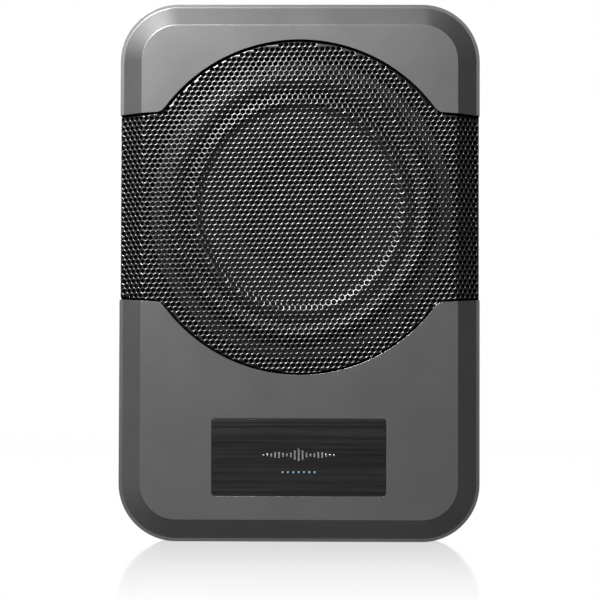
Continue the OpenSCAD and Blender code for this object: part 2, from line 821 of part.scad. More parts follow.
front_cover();
rear_case();
case_gasket();
grille();
grille_frame();
badge_plate();
badge_emblem();
driver_gasket();
driver_basket();
surround();
spider();
cone();
dust_cap();
coil_former();
voice_coil();
top_plate();
magnet();
pole_yoke();
damping_pad();
terminal_strip();
tinsel_leads();
driver_wires();
amp_board();
heatsink();
output_transistors();
filter_capacitors();
power_transformer();
output_inductor();
fuse_holder();
fuse();
control_board();
connector_panel();
power_socket();
power_pins();
speaker_socket();
speaker_pins();
rca_shells();
rca_insulators();
remote_jack();
power_led();
gain_pot();
lowpass_pot();
phase_switch();
gain_knob();
lowpass_knob();
phase_slider();
driver_screws();
cover_screws();
board_screws();
panel_screws();
bracket_inserts();
rubber_feet();
rating_label();
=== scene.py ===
"""Looks of a compact powered car subwoofer that stands on its short end.

Lengths are in metres, X runs across the width, Y from front (minus) to back, and Z is up.
"""

import logging
import math
from collections.abc import Callable
from dataclasses import dataclass, field
from enum import Enum

import bmesh
import bpy
import numpy as np
from mathutils import Matrix, Vector


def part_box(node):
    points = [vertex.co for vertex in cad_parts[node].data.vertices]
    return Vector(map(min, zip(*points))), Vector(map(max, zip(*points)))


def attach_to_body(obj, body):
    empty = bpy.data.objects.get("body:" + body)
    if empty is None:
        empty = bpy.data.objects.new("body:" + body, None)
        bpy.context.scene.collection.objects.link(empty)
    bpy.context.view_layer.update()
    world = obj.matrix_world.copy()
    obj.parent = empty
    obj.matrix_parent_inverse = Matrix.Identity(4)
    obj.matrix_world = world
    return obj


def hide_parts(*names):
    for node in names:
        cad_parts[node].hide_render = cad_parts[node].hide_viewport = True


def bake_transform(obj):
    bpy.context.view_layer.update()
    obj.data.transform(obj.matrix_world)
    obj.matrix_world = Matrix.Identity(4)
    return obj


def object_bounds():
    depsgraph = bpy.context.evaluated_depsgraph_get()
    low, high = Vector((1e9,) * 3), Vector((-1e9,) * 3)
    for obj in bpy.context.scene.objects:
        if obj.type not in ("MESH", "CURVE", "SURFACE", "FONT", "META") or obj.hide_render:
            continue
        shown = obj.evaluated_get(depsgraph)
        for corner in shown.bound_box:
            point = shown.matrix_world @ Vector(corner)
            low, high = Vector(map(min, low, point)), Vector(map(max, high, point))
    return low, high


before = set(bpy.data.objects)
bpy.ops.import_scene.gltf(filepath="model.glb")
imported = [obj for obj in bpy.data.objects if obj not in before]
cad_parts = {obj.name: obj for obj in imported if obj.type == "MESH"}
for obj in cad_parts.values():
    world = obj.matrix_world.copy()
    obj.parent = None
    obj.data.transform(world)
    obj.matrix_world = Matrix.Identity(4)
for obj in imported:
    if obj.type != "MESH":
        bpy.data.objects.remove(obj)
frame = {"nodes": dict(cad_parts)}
cad_box = [list(corner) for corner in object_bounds()]

MM = 0.001
log = logging.getLogger("subwoofer")
Colour = tuple[float, float, float]
DUST_COLOUR: Colour = (0.45, 0.43, 0.4)
COAT_ROUGHNESS = 0.25


# ---- node trees ---------------------------------------------------------------


@dataclass
class Desk:
    """Adds nodes to one node tree and joins them."""

    tree: bpy.types.NodeTree

    def feed(self, socket: bpy.types.NodeSocket, value: object) -> None:
        """Joins a socket to another node's output, or sets its value."""
        if isinstance(value, bpy.types.NodeSocket):
            self.tree.links.new(value, socket)
        elif socket.type == "RGBA" and len(value) == 3:
            socket.default_value = (*value, 1.0)
        else:
            socket.default_value = value

    def put(self, kind: str, settings: dict[str, object] | None = None, **inputs: object) -> bpy.types.Node:
        """Adds a node.

        Args:
            kind: The node's type name without its ShaderNode prefix.
            settings: Properties of the node itself.
            inputs: Values or outputs for its inputs, with _ for a space in the input's name.

        Returns:
            The new node.
        """
        made = self.tree.nodes.new("ShaderNode" + kind)
        for name, value in (settings or {}).items():
            setattr(made, name, value)
        for name, value in inputs.items():
            self.feed(made.inputs[name.replace("_", " ")], value)
        return made

    def maths(self, operation: str, *values: object, clamp: bool = False) -> bpy.types.NodeSocket:
        """Adds a Math node and returns its output."""
        made = self.put("Math", {"operation": operation, "use_clamp": clamp})
        for socket, value in zip(made.inputs, values):
            self.feed(socket, value)
        return made.outputs["Value"]

    def blend(self, share: object, first: object, second: object, kind: str = "MIX") -> bpy.types.NodeSocket:
        """Adds a colour Mix node and returns its output."""
        made = self.put("Mix", {"data_type": "RGBA", "blend_type": kind})
        for socket, value in zip((made.inputs[0], made.inputs[6], made.inputs[7]), (share, first, second)):
            self.feed(socket, value)
        return made.outputs[2]

    def place(self) -> bpy.types.NodeSocket:
        """Adds the object's own coordinates."""
        return self.put("TexCoord").outputs["Object"]

    def times(self, first: object, second: object) -> bpy.types.NodeSocket:
        """Multiplies two values."""
        return self.maths("MULTIPLY", first, second)

    def noise(self, at: object, scale: object, detail: float, **more: float) -> bpy.types.NodeSocket:
        """Adds a noise texture and returns its value."""
        return self.put("TexNoise", Vector=at, Scale=scale, Detail=detail, **more).outputs[0]

    def ranged(self, value: object, low: float, high: float, **more: float) -> bpy.types.NodeSocket:
        """Maps low to high onto 0 to 1, or onto another range."""
        return self.put("MapRange", Value=value, From_Min=low, From_Max=high, **more).outputs[0]

    def brightened(self, colour: object, gain: object) -> bpy.types.NodeSocket:
        """Multiplies a colour by a gain."""
        made = self.put("VectorMath", {"operation": "SCALE"}, Scale=gain)
        self.feed(made.inputs[0], colour)
        return made.outputs[0]

    def spread(self, value: object, low: float, high: float) -> bpy.types.NodeSocket:
        """Maps a value of 0 to 1 onto low to high."""
        return self.put("MapRange", Value=value, To_Min=low, To_Max=high).outputs["Result"]

    def mixed(self, share: object, first: object, second: object) -> bpy.types.NodeSocket:
        """Adds a Mix Shader node and returns its output."""
        made = self.put("MixShader")
        for socket, value in zip(made.inputs, (share, first, second)):
            self.feed(socket, value)
        return made.outputs[0]

    def effect(self, effect: "Effect", **inputs: object) -> bpy.types.Node:
        """Places one of the shared effects."""
        made = self.tree.nodes.new("ShaderNodeGroup")
        made.node_tree = effect.group()
        for name, value in inputs.items():
            self.feed(made.inputs[name], value)
        return made


class Effect(Enum):
    """Surface effects that several finishes share, each one a node group."""

    GRAIN = "moulded_grain"
    BRUSHED = "brushed_lines"
    MOTTLE = "mottled_tone"
    DUST = "settled_dust"
    WEAVE = "crossed_weave"

    def group(self) -> bpy.types.NodeTree:
        """The effect's node group, built the first time that it is asked for."""
        return bpy.data.node_groups.get(self.value) or EFFECT_BUILDERS[self](self.value)


def open_group(
    name: str, inputs: dict[str, tuple[str, object]], outputs: dict[str, str]
) -> tuple[Desk, object, object]:
    """Starts a node group.

    Args:
        name: The group's name.
        inputs: Each input's socket type and default value.
        outputs: Each output's socket type.

    Returns:
        The desk of the group's tree, its input node and its output node.
    """
    tree = bpy.data.node_groups.new(name, "ShaderNodeTree")
    for label, (kind, value) in inputs.items():
        socket = tree.interface.new_socket(name=label, in_out="INPUT", socket_type="NodeSocket" + kind)
        socket.default_value = value
    for label, kind in outputs.items():
        tree.interface.new_socket(name=label, in_out="OUTPUT", socket_type="NodeSocket" + kind)
    return Desk(tree), tree.nodes.new("NodeGroupInput"), tree.nodes.new("NodeGroupOutput")


def build_grain(name: str) -> bpy.types.NodeTree:
    """Fine pebbled grain of moulded plastic or sprayed paint."""
    desk, given, result = open_group(name, {"Scale": ("Float", 1500.0)}, {"Height": "Float", "Mask": "Float"})
    place, scale = desk.place(), given.outputs["Scale"]
    pebbles = desk.noise(place, scale, 3.0, Roughness=0.6)
    cells = desk.put("TexVoronoi", Vector=place, Scale=desk.times(scale, 0.7)).outputs[0]
    height = desk.maths("ADD", desk.times(pebbles, 0.6), desk.times(cells, 0.5))
    desk.feed(result.inputs["Height"], height)
    desk.feed(result.inputs["Mask"], desk.noise(place, desk.times(scale, 0.02), 4.0))
    return desk.tree


def build_brushed(name: str) -> bpy.types.NodeTree:
    """Fine parallel lines, long along the axis whose stretch is small."""
    inputs = {"Stretch": ("Vector", (1.0, 1.0, 1.0)), "Scale": ("Float", 100.0)}
    desk, given, result = open_group(name, inputs, {"Height": "Float", "Mask": "Float"})
    drawn = desk.put("VectorMath", {"operation": "MULTIPLY"})
    desk.feed(drawn.inputs[0], desk.place())
    desk.feed(drawn.inputs[1], given.outputs["Stretch"])
    lines = desk.noise(drawn.outputs[0], given.outputs["Scale"], 5.0, Roughness=0.75)
    bands = desk.noise(drawn.outputs[0], desk.times(given.outputs["Scale"], 0.22), 3.0)
    desk.feed(result.inputs["Height"], lines)
    desk.feed(result.inputs["Mask"], desk.ranged(desk.times(lines, bands), 0.14, 0.42))
    return desk.tree


def build_mottle(name: str) -> bpy.types.NodeTree:
    """Slow change of tone over a surface."""
    inputs = {"Color": ("Color", (0.5, 0.5, 0.5, 1.0)), "Spread": ("Float", 0.1), "Scale": ("Float", 40.0)}
    desk, given, result = open_group(name, inputs, {"Color": "Color"})
    place, scale = desk.place(), given.outputs["Scale"]
    slow, speck = desk.noise(place, scale, 3.0), desk.noise(place, desk.times(scale, 40.0), 1.0)
    swing = desk.maths("SUBTRACT", desk.maths("ADD", slow, speck), 1.0)
    gain = desk.maths("ADD", desk.times(desk.times(swing, given.outputs["Spread"]), 2.0), 1.0)
    desk.feed(result.inputs["Color"], desk.brightened(given.outputs["Color"], gain))
    return desk.tree


def build_dust(name: str) -> bpy.types.NodeTree:
    """Thin dust that has settled on faces that look up."""
    desk, given, result = open_group(name, {"Amount": ("Float", 0.1)}, {"Mask": "Float"})
    facing = desk.put("SeparateXYZ", Vector=desk.put("NewGeometry").outputs["Normal"]).outputs["Z"]
    cloud = desk.noise(desk.place(), 70.0, 6.0, Roughness=0.7)
    lying, patchy = desk.ranged(facing, 0.2, 1.0), desk.ranged(cloud, 0.35, 0.75)
    mask = desk.maths("MULTIPLY", desk.times(lying, patchy), given.outputs["Amount"], clamp=True)
    desk.feed(result.inputs["Mask"], mask)
    return desk.tree


def build_weave(name: str) -> bpy.types.NodeTree:
    """Crossed threads of a cloth that lies across the depth axis."""
    desk, given, result = open_group(name, {"Scale": ("Float", 900.0)}, {"Height": "Float", "Mask": "Float"})
    place, scale = desk.place(), given.outputs["Scale"]
    axes = desk.put("SeparateXYZ", Vector=place)
    turns = [desk.maths("SINE", desk.times(axes.outputs[axis], scale)) for axis in ("X", "Z")]
    waves = [desk.maths("ABSOLUTE", turn) for turn in turns]
    fuzz = desk.noise(place, desk.times(scale, 1.4), 2.0)
    height = desk.maths("MAXIMUM", *waves)
    desk.feed(result.inputs["Height"], desk.maths("ADD", height, desk.times(fuzz, 0.4)))
    desk.feed(result.inputs["Mask"], desk.times(*waves))
    return desk.tree


EFFECT_BUILDERS: dict[Effect, Callable[[str], bpy.types.NodeTree]] = {
    Effect.GRAIN: build_grain,
    Effect.BRUSHED: build_brushed,
    Effect.MOTTLE: build_mottle,
    Effect.DUST: build_dust,
    Effect.WEAVE: build_weave,
}


# ---- finishes -----------------------------------------------------------------


@dataclass(frozen=True)
class Finish:
    """A finish with mottled tone, fine grain and a little dust."""

    name: str
    colour: Colour
    roughness: float = 0.5
    metallic: float = 0.0
    grain_scale: float = 1500.0
    grain_depth: float = 0.02 * MM
    mottle: float = 0.06
    mottle_scale: float = 45.0
    roughness_spread: float = 0.06
    dust: float = 0.04
    coat: float = 0.0
    specular: float = 0.5

    def texture(self, desk: Desk) -> tuple[bpy.types.NodeSocket, bpy.types.NodeSocket]:
        """Returns the height and the mask that shape this finish."""
        grain = desk.effect(Effect.GRAIN, Scale=self.grain_scale)
        return grain.outputs["Height"], grain.outputs["Mask"]

    def tint(
        self, desk: Desk, colour: bpy.types.NodeSocket, mask: bpy.types.NodeSocket
    ) -> bpy.types.NodeSocket:
        """Returns the colour as this finish changes it by its mask."""
        return colour

    def material(self) -> bpy.types.Material:
        """Returns the finish as a material, built the first time that it is asked for."""
        made = bpy.data.materials.get(self.name)
        if made and made.get("finish"):
            return made
        made = bpy.data.materials.new(self.name)
        made["finish"] = True
        made.use_nodes = True
        desk = Desk(made.node_tree)
        shader = made.node_tree.nodes["Principled BSDF"]
        mottled = desk.effect(
            Effect.MOTTLE, Color=(*self.colour, 1.0), Spread=self.mottle, Scale=self.mottle_scale
        )
        height, mask = self.texture(desk)
        colour = self.tint(desk, mottled.outputs["Color"], mask)
        dust = desk.effect(Effect.DUST, Amount=self.dust)
        desk.feed(shader.inputs["Base Color"], desk.blend(dust.outputs["Mask"], colour, DUST_COLOUR))
        low = self.roughness - self.roughness_spread
        high = self.roughness + self.roughness_spread
        desk.feed(shader.inputs["Roughness"], desk.spread(mask, low, high))
        constants = {"Metallic": self.metallic, "Coat Weight": self.coat, "Coat Roughness": COAT_ROUGHNESS,
                     "Specular IOR Level": self.specular}
        for name, value in constants.items():
            shader.inputs[name].default_value = value
        bump = desk.put("Bump", Strength=1.0, Distance=self.grain_depth, Height=height)
        desk.feed(shader.inputs["Normal"], bump.outputs["Normal"])
        return made


@dataclass(frozen=True)
class BrushedFinish(Finish):
    """A finish brushed along one axis."""

    stretch: Colour = (0.05, 1.0, 1.0)
    line_scale: float = 1800.0
    streak: float = 0.5

    def texture(self, desk: Desk) -> tuple[bpy.types.NodeSocket, bpy.types.NodeSocket]:
        """Returns the height and the mask of the brushed lines."""
        lines = desk.effect(Effect.BRUSHED, Stretch=self.stretch, Scale=self.line_scale)
        return lines.outputs["Height"], lines.outputs["Mask"]

    def tint(
        self, desk: Desk, colour: bpy.types.NodeSocket, mask: bpy.types.NodeSocket
    ) -> bpy.types.NodeSocket:
        """Returns the colour with lighter and darker streaks."""
        gain = desk.spread(mask, 1.0 - self.streak, 1.0 + self.streak)
        return desk.brightened(colour, gain)


@dataclass(frozen=True)
class WovenFinish(Finish):
    """A cloth of crossed threads."""

    thread_scale: float = 5200.0

    def texture(self, desk: Desk) -> tuple[bpy.types.NodeSocket, bpy.types.NodeSocket]:
        """Returns the height and the mask of the weave."""
        cloth = desk.effect(Effect.WEAVE, Scale=self.thread_scale)
        return cloth.outputs["Height"], cloth.outputs["Mask"]


@dataclass(frozen=True)
class GlowFinish(Finish):
    """A lens that glows a little."""

    glow: float = 1.5

    def material(self) -> bpy.types.Material:
        """Returns the lens material, with its glow taken from its mottled colour."""
        made = Finish.material(self)
        shader = made.node_tree.nodes["Principled BSDF"]
        colour = shader.inputs["Base Color"].links[0].from_socket
        made.node_tree.links.new(colour, shader.inputs["Emission Color"])
        shader.inputs["Emission Strength"].default_value = self.glow
        return made


COVER_PAINT = Finish(
    "cover_paint_satin", (0.30, 0.30, 0.303), 0.34, 0.95, 1900.0, 0.008 * MM, 0.08, 30.0, 0.02, 0.0, 0.0, 0.5
)
# Painted shade: a near-black, barely reflective finish for the cover's faces under the grille and inside the
# case, standing in for the shade seen through the holes.
COVER_INSIDE_SHADE = Finish(
    "cover_inside_painted_shade", (0.004, 0.004, 0.004), 0.8, 0.0, 1500.0, 0.03 * MM, dust=0.0, specular=0.15
)
CASE_PLASTIC = Finish("case_crinkle", (0.018, 0.018, 0.019), 0.55, 0.0, 900.0, 0.09 * MM, 0.1, 40.0)
GRILLE_COAT = Finish(
    "grille_coat", (0.118, 0.118, 0.117), 0.30, 0.95, 2600.0, 0.004 * MM, 0.1, 60.0, 0.04, 0.0
)
# Painted shade: a near-black, dull finish for the grille's hole walls, back and edges, in place of the same
# coat, standing in for the shade inside the holes.
GRILLE_BORE_SHADE = Finish(
    "grille_bore_painted_shade", (0.006, 0.006, 0.006), 0.7, 0.0, 2600.0, 0.008 * MM, dust=0.0, specular=0.2
)
# Partly the frame's own black plastic and partly painted shade: colour and reflection are kept near zero so
# the mesh holes over it read as shade.
FRAME_BLACK_AND_SHADE = Finish(
    "grille_frame_black_and_shade", (0.0015, 0.0015, 0.0015), 0.9, 0.0, 1500.0, 0.03 * MM, dust=0.0, specular=0.08
)
FOAM = Finish("case_foam", (0.012, 0.012, 0.012), 0.9, 0.0, 1200.0, 0.15 * MM, 0.2)
BADGE_PLATE = BrushedFinish(
    "badge_brushed", (0.018, 0.018, 0.0185), 0.36, 0.35, grain_depth=0.012 * MM, mottle=0.1,
    mottle_scale=25.0, dust=0.0, stretch=(0.012, 0.4, 1.0), line_scale=1500.0, streak=0.55
)
EMBLEM_SILVER = BrushedFinish(
    "emblem_silver_brushed", (0.66, 0.67, 0.68), 0.3, 0.85, grain_depth=0.006 * MM, dust=0.0,
    stretch=(0.1, 1.0, 1.0), line_scale=2500.0, streak=0.12
)
EMBLEM_BLUE = Finish("emblem_blue_grey", (0.2, 0.32, 0.42), 0.4, 0.2, 2600.0, 0.01 * MM, dust=0.0)
SEAL_GREY = Finish("seal_grey_foam", (0.01, 0.01, 0.0105), 0.85, 0.0, 1400.0, 0.12 * MM, 0.15, dust=0.0)
BASKET_STEEL = Finish("basket_black_steel", (0.012, 0.012, 0.013), 0.5, 0.3, 1700.0, 0.02 * MM, dust=0.0)
SURROUND_RUBBER = Finish(
    "surround_rubber_satin", (0.006, 0.006, 0.006), 0.6, 0.0, 1900.0, 0.015 * MM, 0.12, dust=0.0, specular=0.2
)
SPIDER_CLOTH = WovenFinish("spider_woven", (0.42, 0.25, 0.09), 0.85, grain_depth=0.12 * MM, mottle=0.12)
CONE_PAPER = Finish(
    "cone_pressed_paper", (0.012, 0.012, 0.013), 0.75, 0.0, 700.0, 0.14 * MM, 0.2, 55.0, dust=0.0,
    specular=0.3
)
CAP_PAPER = Finish(
    "cap_pressed_paper", (0.003, 0.003, 0.0032), 0.7, 0.0, 800.0, 0.1 * MM, 0.2, 55.0, dust=0.0, specular=0.15
)
FORMER_BOARD = Finish("former_board", (0.55, 0.42, 0.24), 0.7, 0.0, 900.0, 0.05 * MM)
COIL_COPPER = BrushedFinish(
    "coil_copper_wound", (0.62, 0.26, 0.1), 0.35, 0.9, grain_depth=0.08 * MM, stretch=(0.15, 1.0, 0.15),
    line_scale=1100.0, streak=0.25
)
PLATE_ZINC = BrushedFinish(
    "plate_zinc_turned", (0.48, 0.48, 0.47), 0.34, 0.9, grain_depth=0.01 * MM, stretch=(0.3, 1.0, 0.3),
    streak=0.15
)
MAGNET_FERRITE = Finish("magnet_ferrite", (0.035, 0.035, 0.038), 0.6, 0.1, 800.0, 0.07 * MM, 0.15)
BOARD_BROWN = Finish("board_phenolic", (0.3, 0.16, 0.05), 0.6, 0.0, 1300.0, 0.03 * MM)
WIRE_BLACK = Finish("wire_sleeve", (0.015, 0.015, 0.015), 0.45, 0.0, 2200.0, 0.02 * MM)
BOARD_GREEN = Finish("board_green_mask", (0.012, 0.085, 0.04), 0.35, 0.0, 420.0, 0.05 * MM, 0.25, 160.0)
HEATSINK_ALU = BrushedFinish(
    "heatsink_extruded", (0.62, 0.63, 0.64), 0.36, 0.9, grain_depth=0.02 * MM, stretch=(0.02, 1.0, 1.0),
    streak=0.2
)
PART_BLACK = Finish("part_black_moulded", (0.014, 0.014, 0.015), 0.4, 0.0, 1400.0, 0.02 * MM)
FUSE_RED = Finish("fuse_red_shell", (0.45, 0.04, 0.02), 0.25, 0.0, 1500.0, 0.01 * MM)
PANEL_BLACK = Finish("panel_black_textured", (0.016, 0.016, 0.017), 0.5, 0.0, 1300.0, 0.07 * MM, 0.12)
SOCKET_IVORY = Finish("socket_ivory_nylon", (0.62, 0.58, 0.47), 0.45, 0.0, 900.0, 0.03 * MM)
PIN_GOLD = BrushedFinish("pin_gold_plate", (0.83, 0.58, 0.22), 0.22, 1.0, grain_depth=0.01 * MM, streak=0.12)
RCA_RED = Finish("phono_red_nylon", (0.42, 0.02, 0.015), 0.4, 0.0, 1500.0, 0.02 * MM)
RCA_WHITE = Finish("phono_white_nylon", (0.72, 0.72, 0.69), 0.4, 0.0, 1500.0, 0.02 * MM)
LED_LENS = GlowFinish("led_blue_lens", (0.05, 0.3, 0.85), 0.15, 0.0, 1500.0, 0.004 * MM, dust=0.0)
POT_BLUE = Finish("pot_blue_case", (0.05, 0.11, 0.28), 0.4, 0.0, 1500.0, 0.02 * MM)
KNOB_BLACK = Finish("knob_soft_black", (0.022, 0.022, 0.023), 0.48, 0.0, 1800.0, 0.03 * MM)
SCREW_BLACK = Finish("screw_black_oxide", (0.045, 0.045, 0.048), 0.36, 0.85, 1800.0, 0.015 * MM)
SCREW_ZINC = Finish("screw_zinc", (0.6, 0.6, 0.58), 0.3, 0.95, 1800.0, 0.015 * MM)
INSERT_BRASS = BrushedFinish(
    "insert_brass", (0.68, 0.47, 0.18), 0.3, 0.95, grain_depth=0.02 * MM, streak=0.15
)
FOOT_RUBBER = Finish("foot_rubber_matt", (0.014, 0.014, 0.014), 0.8, 0.0, 1100.0, 0.08 * MM, 0.2)
LABEL_FOIL = BrushedFinish("label_foil", (0.4, 0.41, 0.42), 0.38, 0.7, grain_depth=0.008 * MM, streak=0.12)
MARK_WHITE = Finish("printed_mark", (0.6, 0.6, 0.6), 0.55, 0.0, 2000.0, 0.008 * MM, dust=0.0)


# ---- shaping ------------------------------------------------------------------


def shown(name: str, mesh: bpy.types.Mesh) -> bpy.types.Object:
    """Puts a mesh in the scene as an object of that name."""
    made = bpy.data.objects.new(name, mesh)
    bpy.context.scene.collection.objects.link(made)
    return made


def poured(name: str, bm: bmesh.types.BMesh) -> bpy.types.Object:
    """Turns a finished working mesh into a piece and frees it."""
    mesh = bpy.data.meshes.new(name)
    bm.to_mesh(mesh)
    bm.free()
    return shown(name, mesh)


def smooth(piece: bpy.types.Object, weighted: bool = False) -> bpy.types.Object:
    """Shades a piece smoothly, with its large faces kept flat if weighted."""
    piece.data.polygons.foreach_set("use_smooth", [True] * len(piece.data.polygons))
    if weighted:
        modifier = piece.modifiers.new("flat faces stay flat", "WEIGHTED_NORMAL")
        modifier.weight = 90
        modifier.keep_sharp = False
    return piece


def dress(piece: bpy.types.Object, finish: Finish) -> bpy.types.Object:
    """Gives a piece one finish all over."""
    piece.data.materials.clear()
    piece.data.materials.append(finish.material())
    return piece


def dress_all(parts: dict[str, tuple[bpy.types.Object, Finish]]) -> None:
    """Gives each piece the finish that is kept with it."""
    for piece, finish in parts.values():
        dress(piece, finish)


def attach(piece: bpy.types.Object, body: str, slot: str, *nodes: str) -> bpy.types.Object:
    """Rides a piece on a body and hides the nodes that it stands for."""
    if nodes:
        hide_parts(*nodes)
    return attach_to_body(piece, body)


def eased(
    node: str, name: str, width: float, limit_deg: float = 25.0, segments: int = 2,
    keep: Callable[[Vector], bool] | None = None
) -> bpy.types.Object:
    """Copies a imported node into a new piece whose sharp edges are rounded.

    Args:
        node: The node to copy.
        name: The new piece's name.
        width: Width of the rounding.
        limit_deg: Edges that turn by less than this stay as they are.
        segments: Steps across the rounding.
        keep: Says, for an edge's middle, whether that edge is rounded.

    Returns:
        The new piece, shaded smoothly.
    """
    bm = bmesh.new()
    bm.from_mesh(frame["nodes"][node].data)
    bmesh.ops.remove_doubles(bm, verts=bm.verts, dist=0.002 * MM)
    bmesh.ops.join_triangles(
        bm, faces=bm.faces, angle_face_threshold=math.radians(0.3), angle_shape_threshold=math.pi
    )
    limit = math.radians(limit_deg)
    sharp = [
        edge for edge in bm.edges
        if len(edge.link_faces) == 2 and edge.calc_face_angle(0.0) > limit
        and (keep is None or keep((edge.verts[0].co + edge.verts[1].co) / 2))
    ]
    bmesh.ops.bevel(
        bm, geom=sharp, offset=width, offset_type="OFFSET", segments=segments, profile=0.5,
        affect="EDGES", clamp_overlap=False
    )
    return smooth(poured(name, bm), weighted=True)


def rounded_path(points: list[tuple[float, float]], radii: list[float], steps: int = 5) -> np.ndarray:
    """Rounds the corners of an open path.

    Args:
        points: The path's points.
        radii: A radius for each inner point.
        steps: Steps along each rounded corner.

    Returns:
        The rounded path, one point a row.
    """
    path = [np.array(points[0], float)]
    for i, radius in enumerate(radii, start=1):
        corner = np.array(points[i], float)
        back = np.array(points[i - 1], float) - corner
        ahead = np.array(points[i + 1], float) - corner
        back /= np.linalg.norm(back)
        ahead /= np.linalg.norm(ahead)
        half = math.acos(max(-1.0, min(1.0, float(back @ ahead)))) / 2
        reach = radius / math.tan(half)
        for t in np.linspace(0.0, 1.0, steps + 1):
            a = corner + back * reach * (1 - t)
            b = corner + ahead * reach * t
            path.append(a * (1 - t) + b * t)
    path.append(np.array(points[-1], float))
    return np.array(path)


def lathe(
    name: str, profile: list[tuple[float, float]], centre_z: float, segments: int = 144, closed: bool = True
) -> bpy.types.Object:
    """Turns a profile of radius and depth round the speaker's axis.

    Args:
        name: The new piece's name.
        profile: Points of radius and depth, in order round the section.
        centre_z: Height of the axis.
        segments: Steps round the axis.
        closed: Whether the last point joins the first.

    Returns:
        The new piece, shaded smoothly.
    """
    bm = bmesh.new()
    rings = []
    for radius, depth in profile:
        if radius < 1e-7:
            rings.append([bm.verts.new((0.0, depth, centre_z))] * segments)
            continue
        angles = [2 * math.pi * k / segments for k in range(segments)]
        rings.append([
            bm.verts.new((radius * math.cos(a), depth, centre_z + radius * math.sin(a))) for a in angles
        ])
    pairs = list(zip(rings, rings[1:])) + ([(rings[-1], rings[0])] if closed else [])
    for inner, outer in pairs:
        for k in range(segments):
            n = (k + 1) % segments
            corners = list(dict.fromkeys((inner[k], outer[k], outer[n], inner[n])))
            if len(corners) > 2:
                bm.faces.new(corners)
    bmesh.ops.recalc_face_normals(bm, faces=bm.faces)
    return smooth(poured(name, bm), weighted=True)


def shell_profile(face: np.ndarray, thickness: float) -> list[tuple[float, float]]:
    """Closes a front face of radius and depth into a section of even depth."""
    behind = face[::-1] + np.array([0.0, thickness])
    return [tuple(p) for p in np.vstack([face, behind])]


def flowing(points: list[tuple[float, float]], count: int) -> np.ndarray:
    """Returns points along a smooth curve through the given ones."""
    p = np.array(points, float)
    step = np.hypot(*np.diff(p, axis=0).T)
    at = np.concatenate([[0.0], np.cumsum(step)])
    slope = np.gradient(p, at, axis=0)
    out = []
    for s in np.linspace(0.0, at[-1], count):
        i = min(int(np.searchsorted(at, s, side="right")) - 1, len(p) - 2)
        h = at[i + 1] - at[i]
        t = (s - at[i]) / h
        a, b, m, n = p[i], p[i + 1], slope[i] * h, slope[i + 1] * h
        out.append(
            (2 * t**3 - 3 * t**2 + 1) * a + (t**3 - 2 * t**2 + t) * m
            + (3 * t**2 - 2 * t**3) * b + (t**3 - t**2) * n
        )
    return np.array(out)


# ---- front --------------------------------------------------------------------


@dataclass
class FrontCover:
    """The grey casting with its ledge, sloping border, opening and shelf."""

    edge: float = 0.1 * MM
    corner_r: float = 37.0 * MM
    depth_rounded: float = 17.0 * MM
    opening_r: float = 107.8 * MM
    band_half: float = 62.0 * MM
    centre_z: float = 214.0 * MM
    sunk: float = 1.4 * MM
    lip: float = 18.0 * MM
    wall: float = 3.0 * MM
    slope_in: float = 14.1 * MM
    slope_run: float = 12.0 * MM
    slope_fall: float = 7.0 * MM
    pieces: list[bpy.types.Object] = field(default_factory=list)

    def build(self) -> None:
        """Rounds the edges that show and hides the node."""
        low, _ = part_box("front_cover")
        limit = low.y + self.depth_rounded
        cover = eased("front_cover", "cover_casting", self.edge, 22.0, 3, lambda middle: middle.y < limit)
        self.pieces.append(attach(cover, "case", "cover_paint", "front_cover"))

    def hidden(self, at: np.ndarray) -> np.ndarray:
        """Says which points, one a row, lie under the grille or inside the case, where the painted shade
        goes.
        """
        low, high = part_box("front_cover")
        x, y, z = np.abs(at[:, 0]), at[:, 1], at[:, 2]
        past_x = x - (high.x - self.corner_r)
        past_z = np.abs(z - high.z / 2) - (high.z / 2 - self.corner_r)
        beyond = np.hypot(np.maximum(past_x, 0.0), np.maximum(past_z, 0.0))
        inset = self.corner_r - beyond - np.minimum(np.maximum(past_x, past_z), 0.0)
        inside = (y > high.y - self.lip) & (inset > self.wall)
        up = z - self.centre_z
        over = (np.hypot(x, up) < self.opening_r) | (np.abs(up) < self.band_half)
        steepness = self.slope_fall / self.slope_run
        slope = np.clip(x - (high.x - self.slope_in), 0.0, self.slope_run) * steepness
        return inside | (over & (y > low.y + self.sunk + slope))

    def dress(self) -> None:
        """Gives the casting its satin metallic paint, and its faces under the grille and inside the case a
        dull near-black painted shade.
        """
        for piece in self.pieces:
            dress(piece, COVER_PAINT)
            # The faces under the grille and inside the case take the second material, a near-black painted
            # shade.
            piece.data.materials.append(COVER_INSIDE_SHADE.material())
            centres = np.array([face.center for face in piece.data.polygons])
            piece.data.polygons.foreach_set("material_index", self.hidden(centres).astype(np.int32))


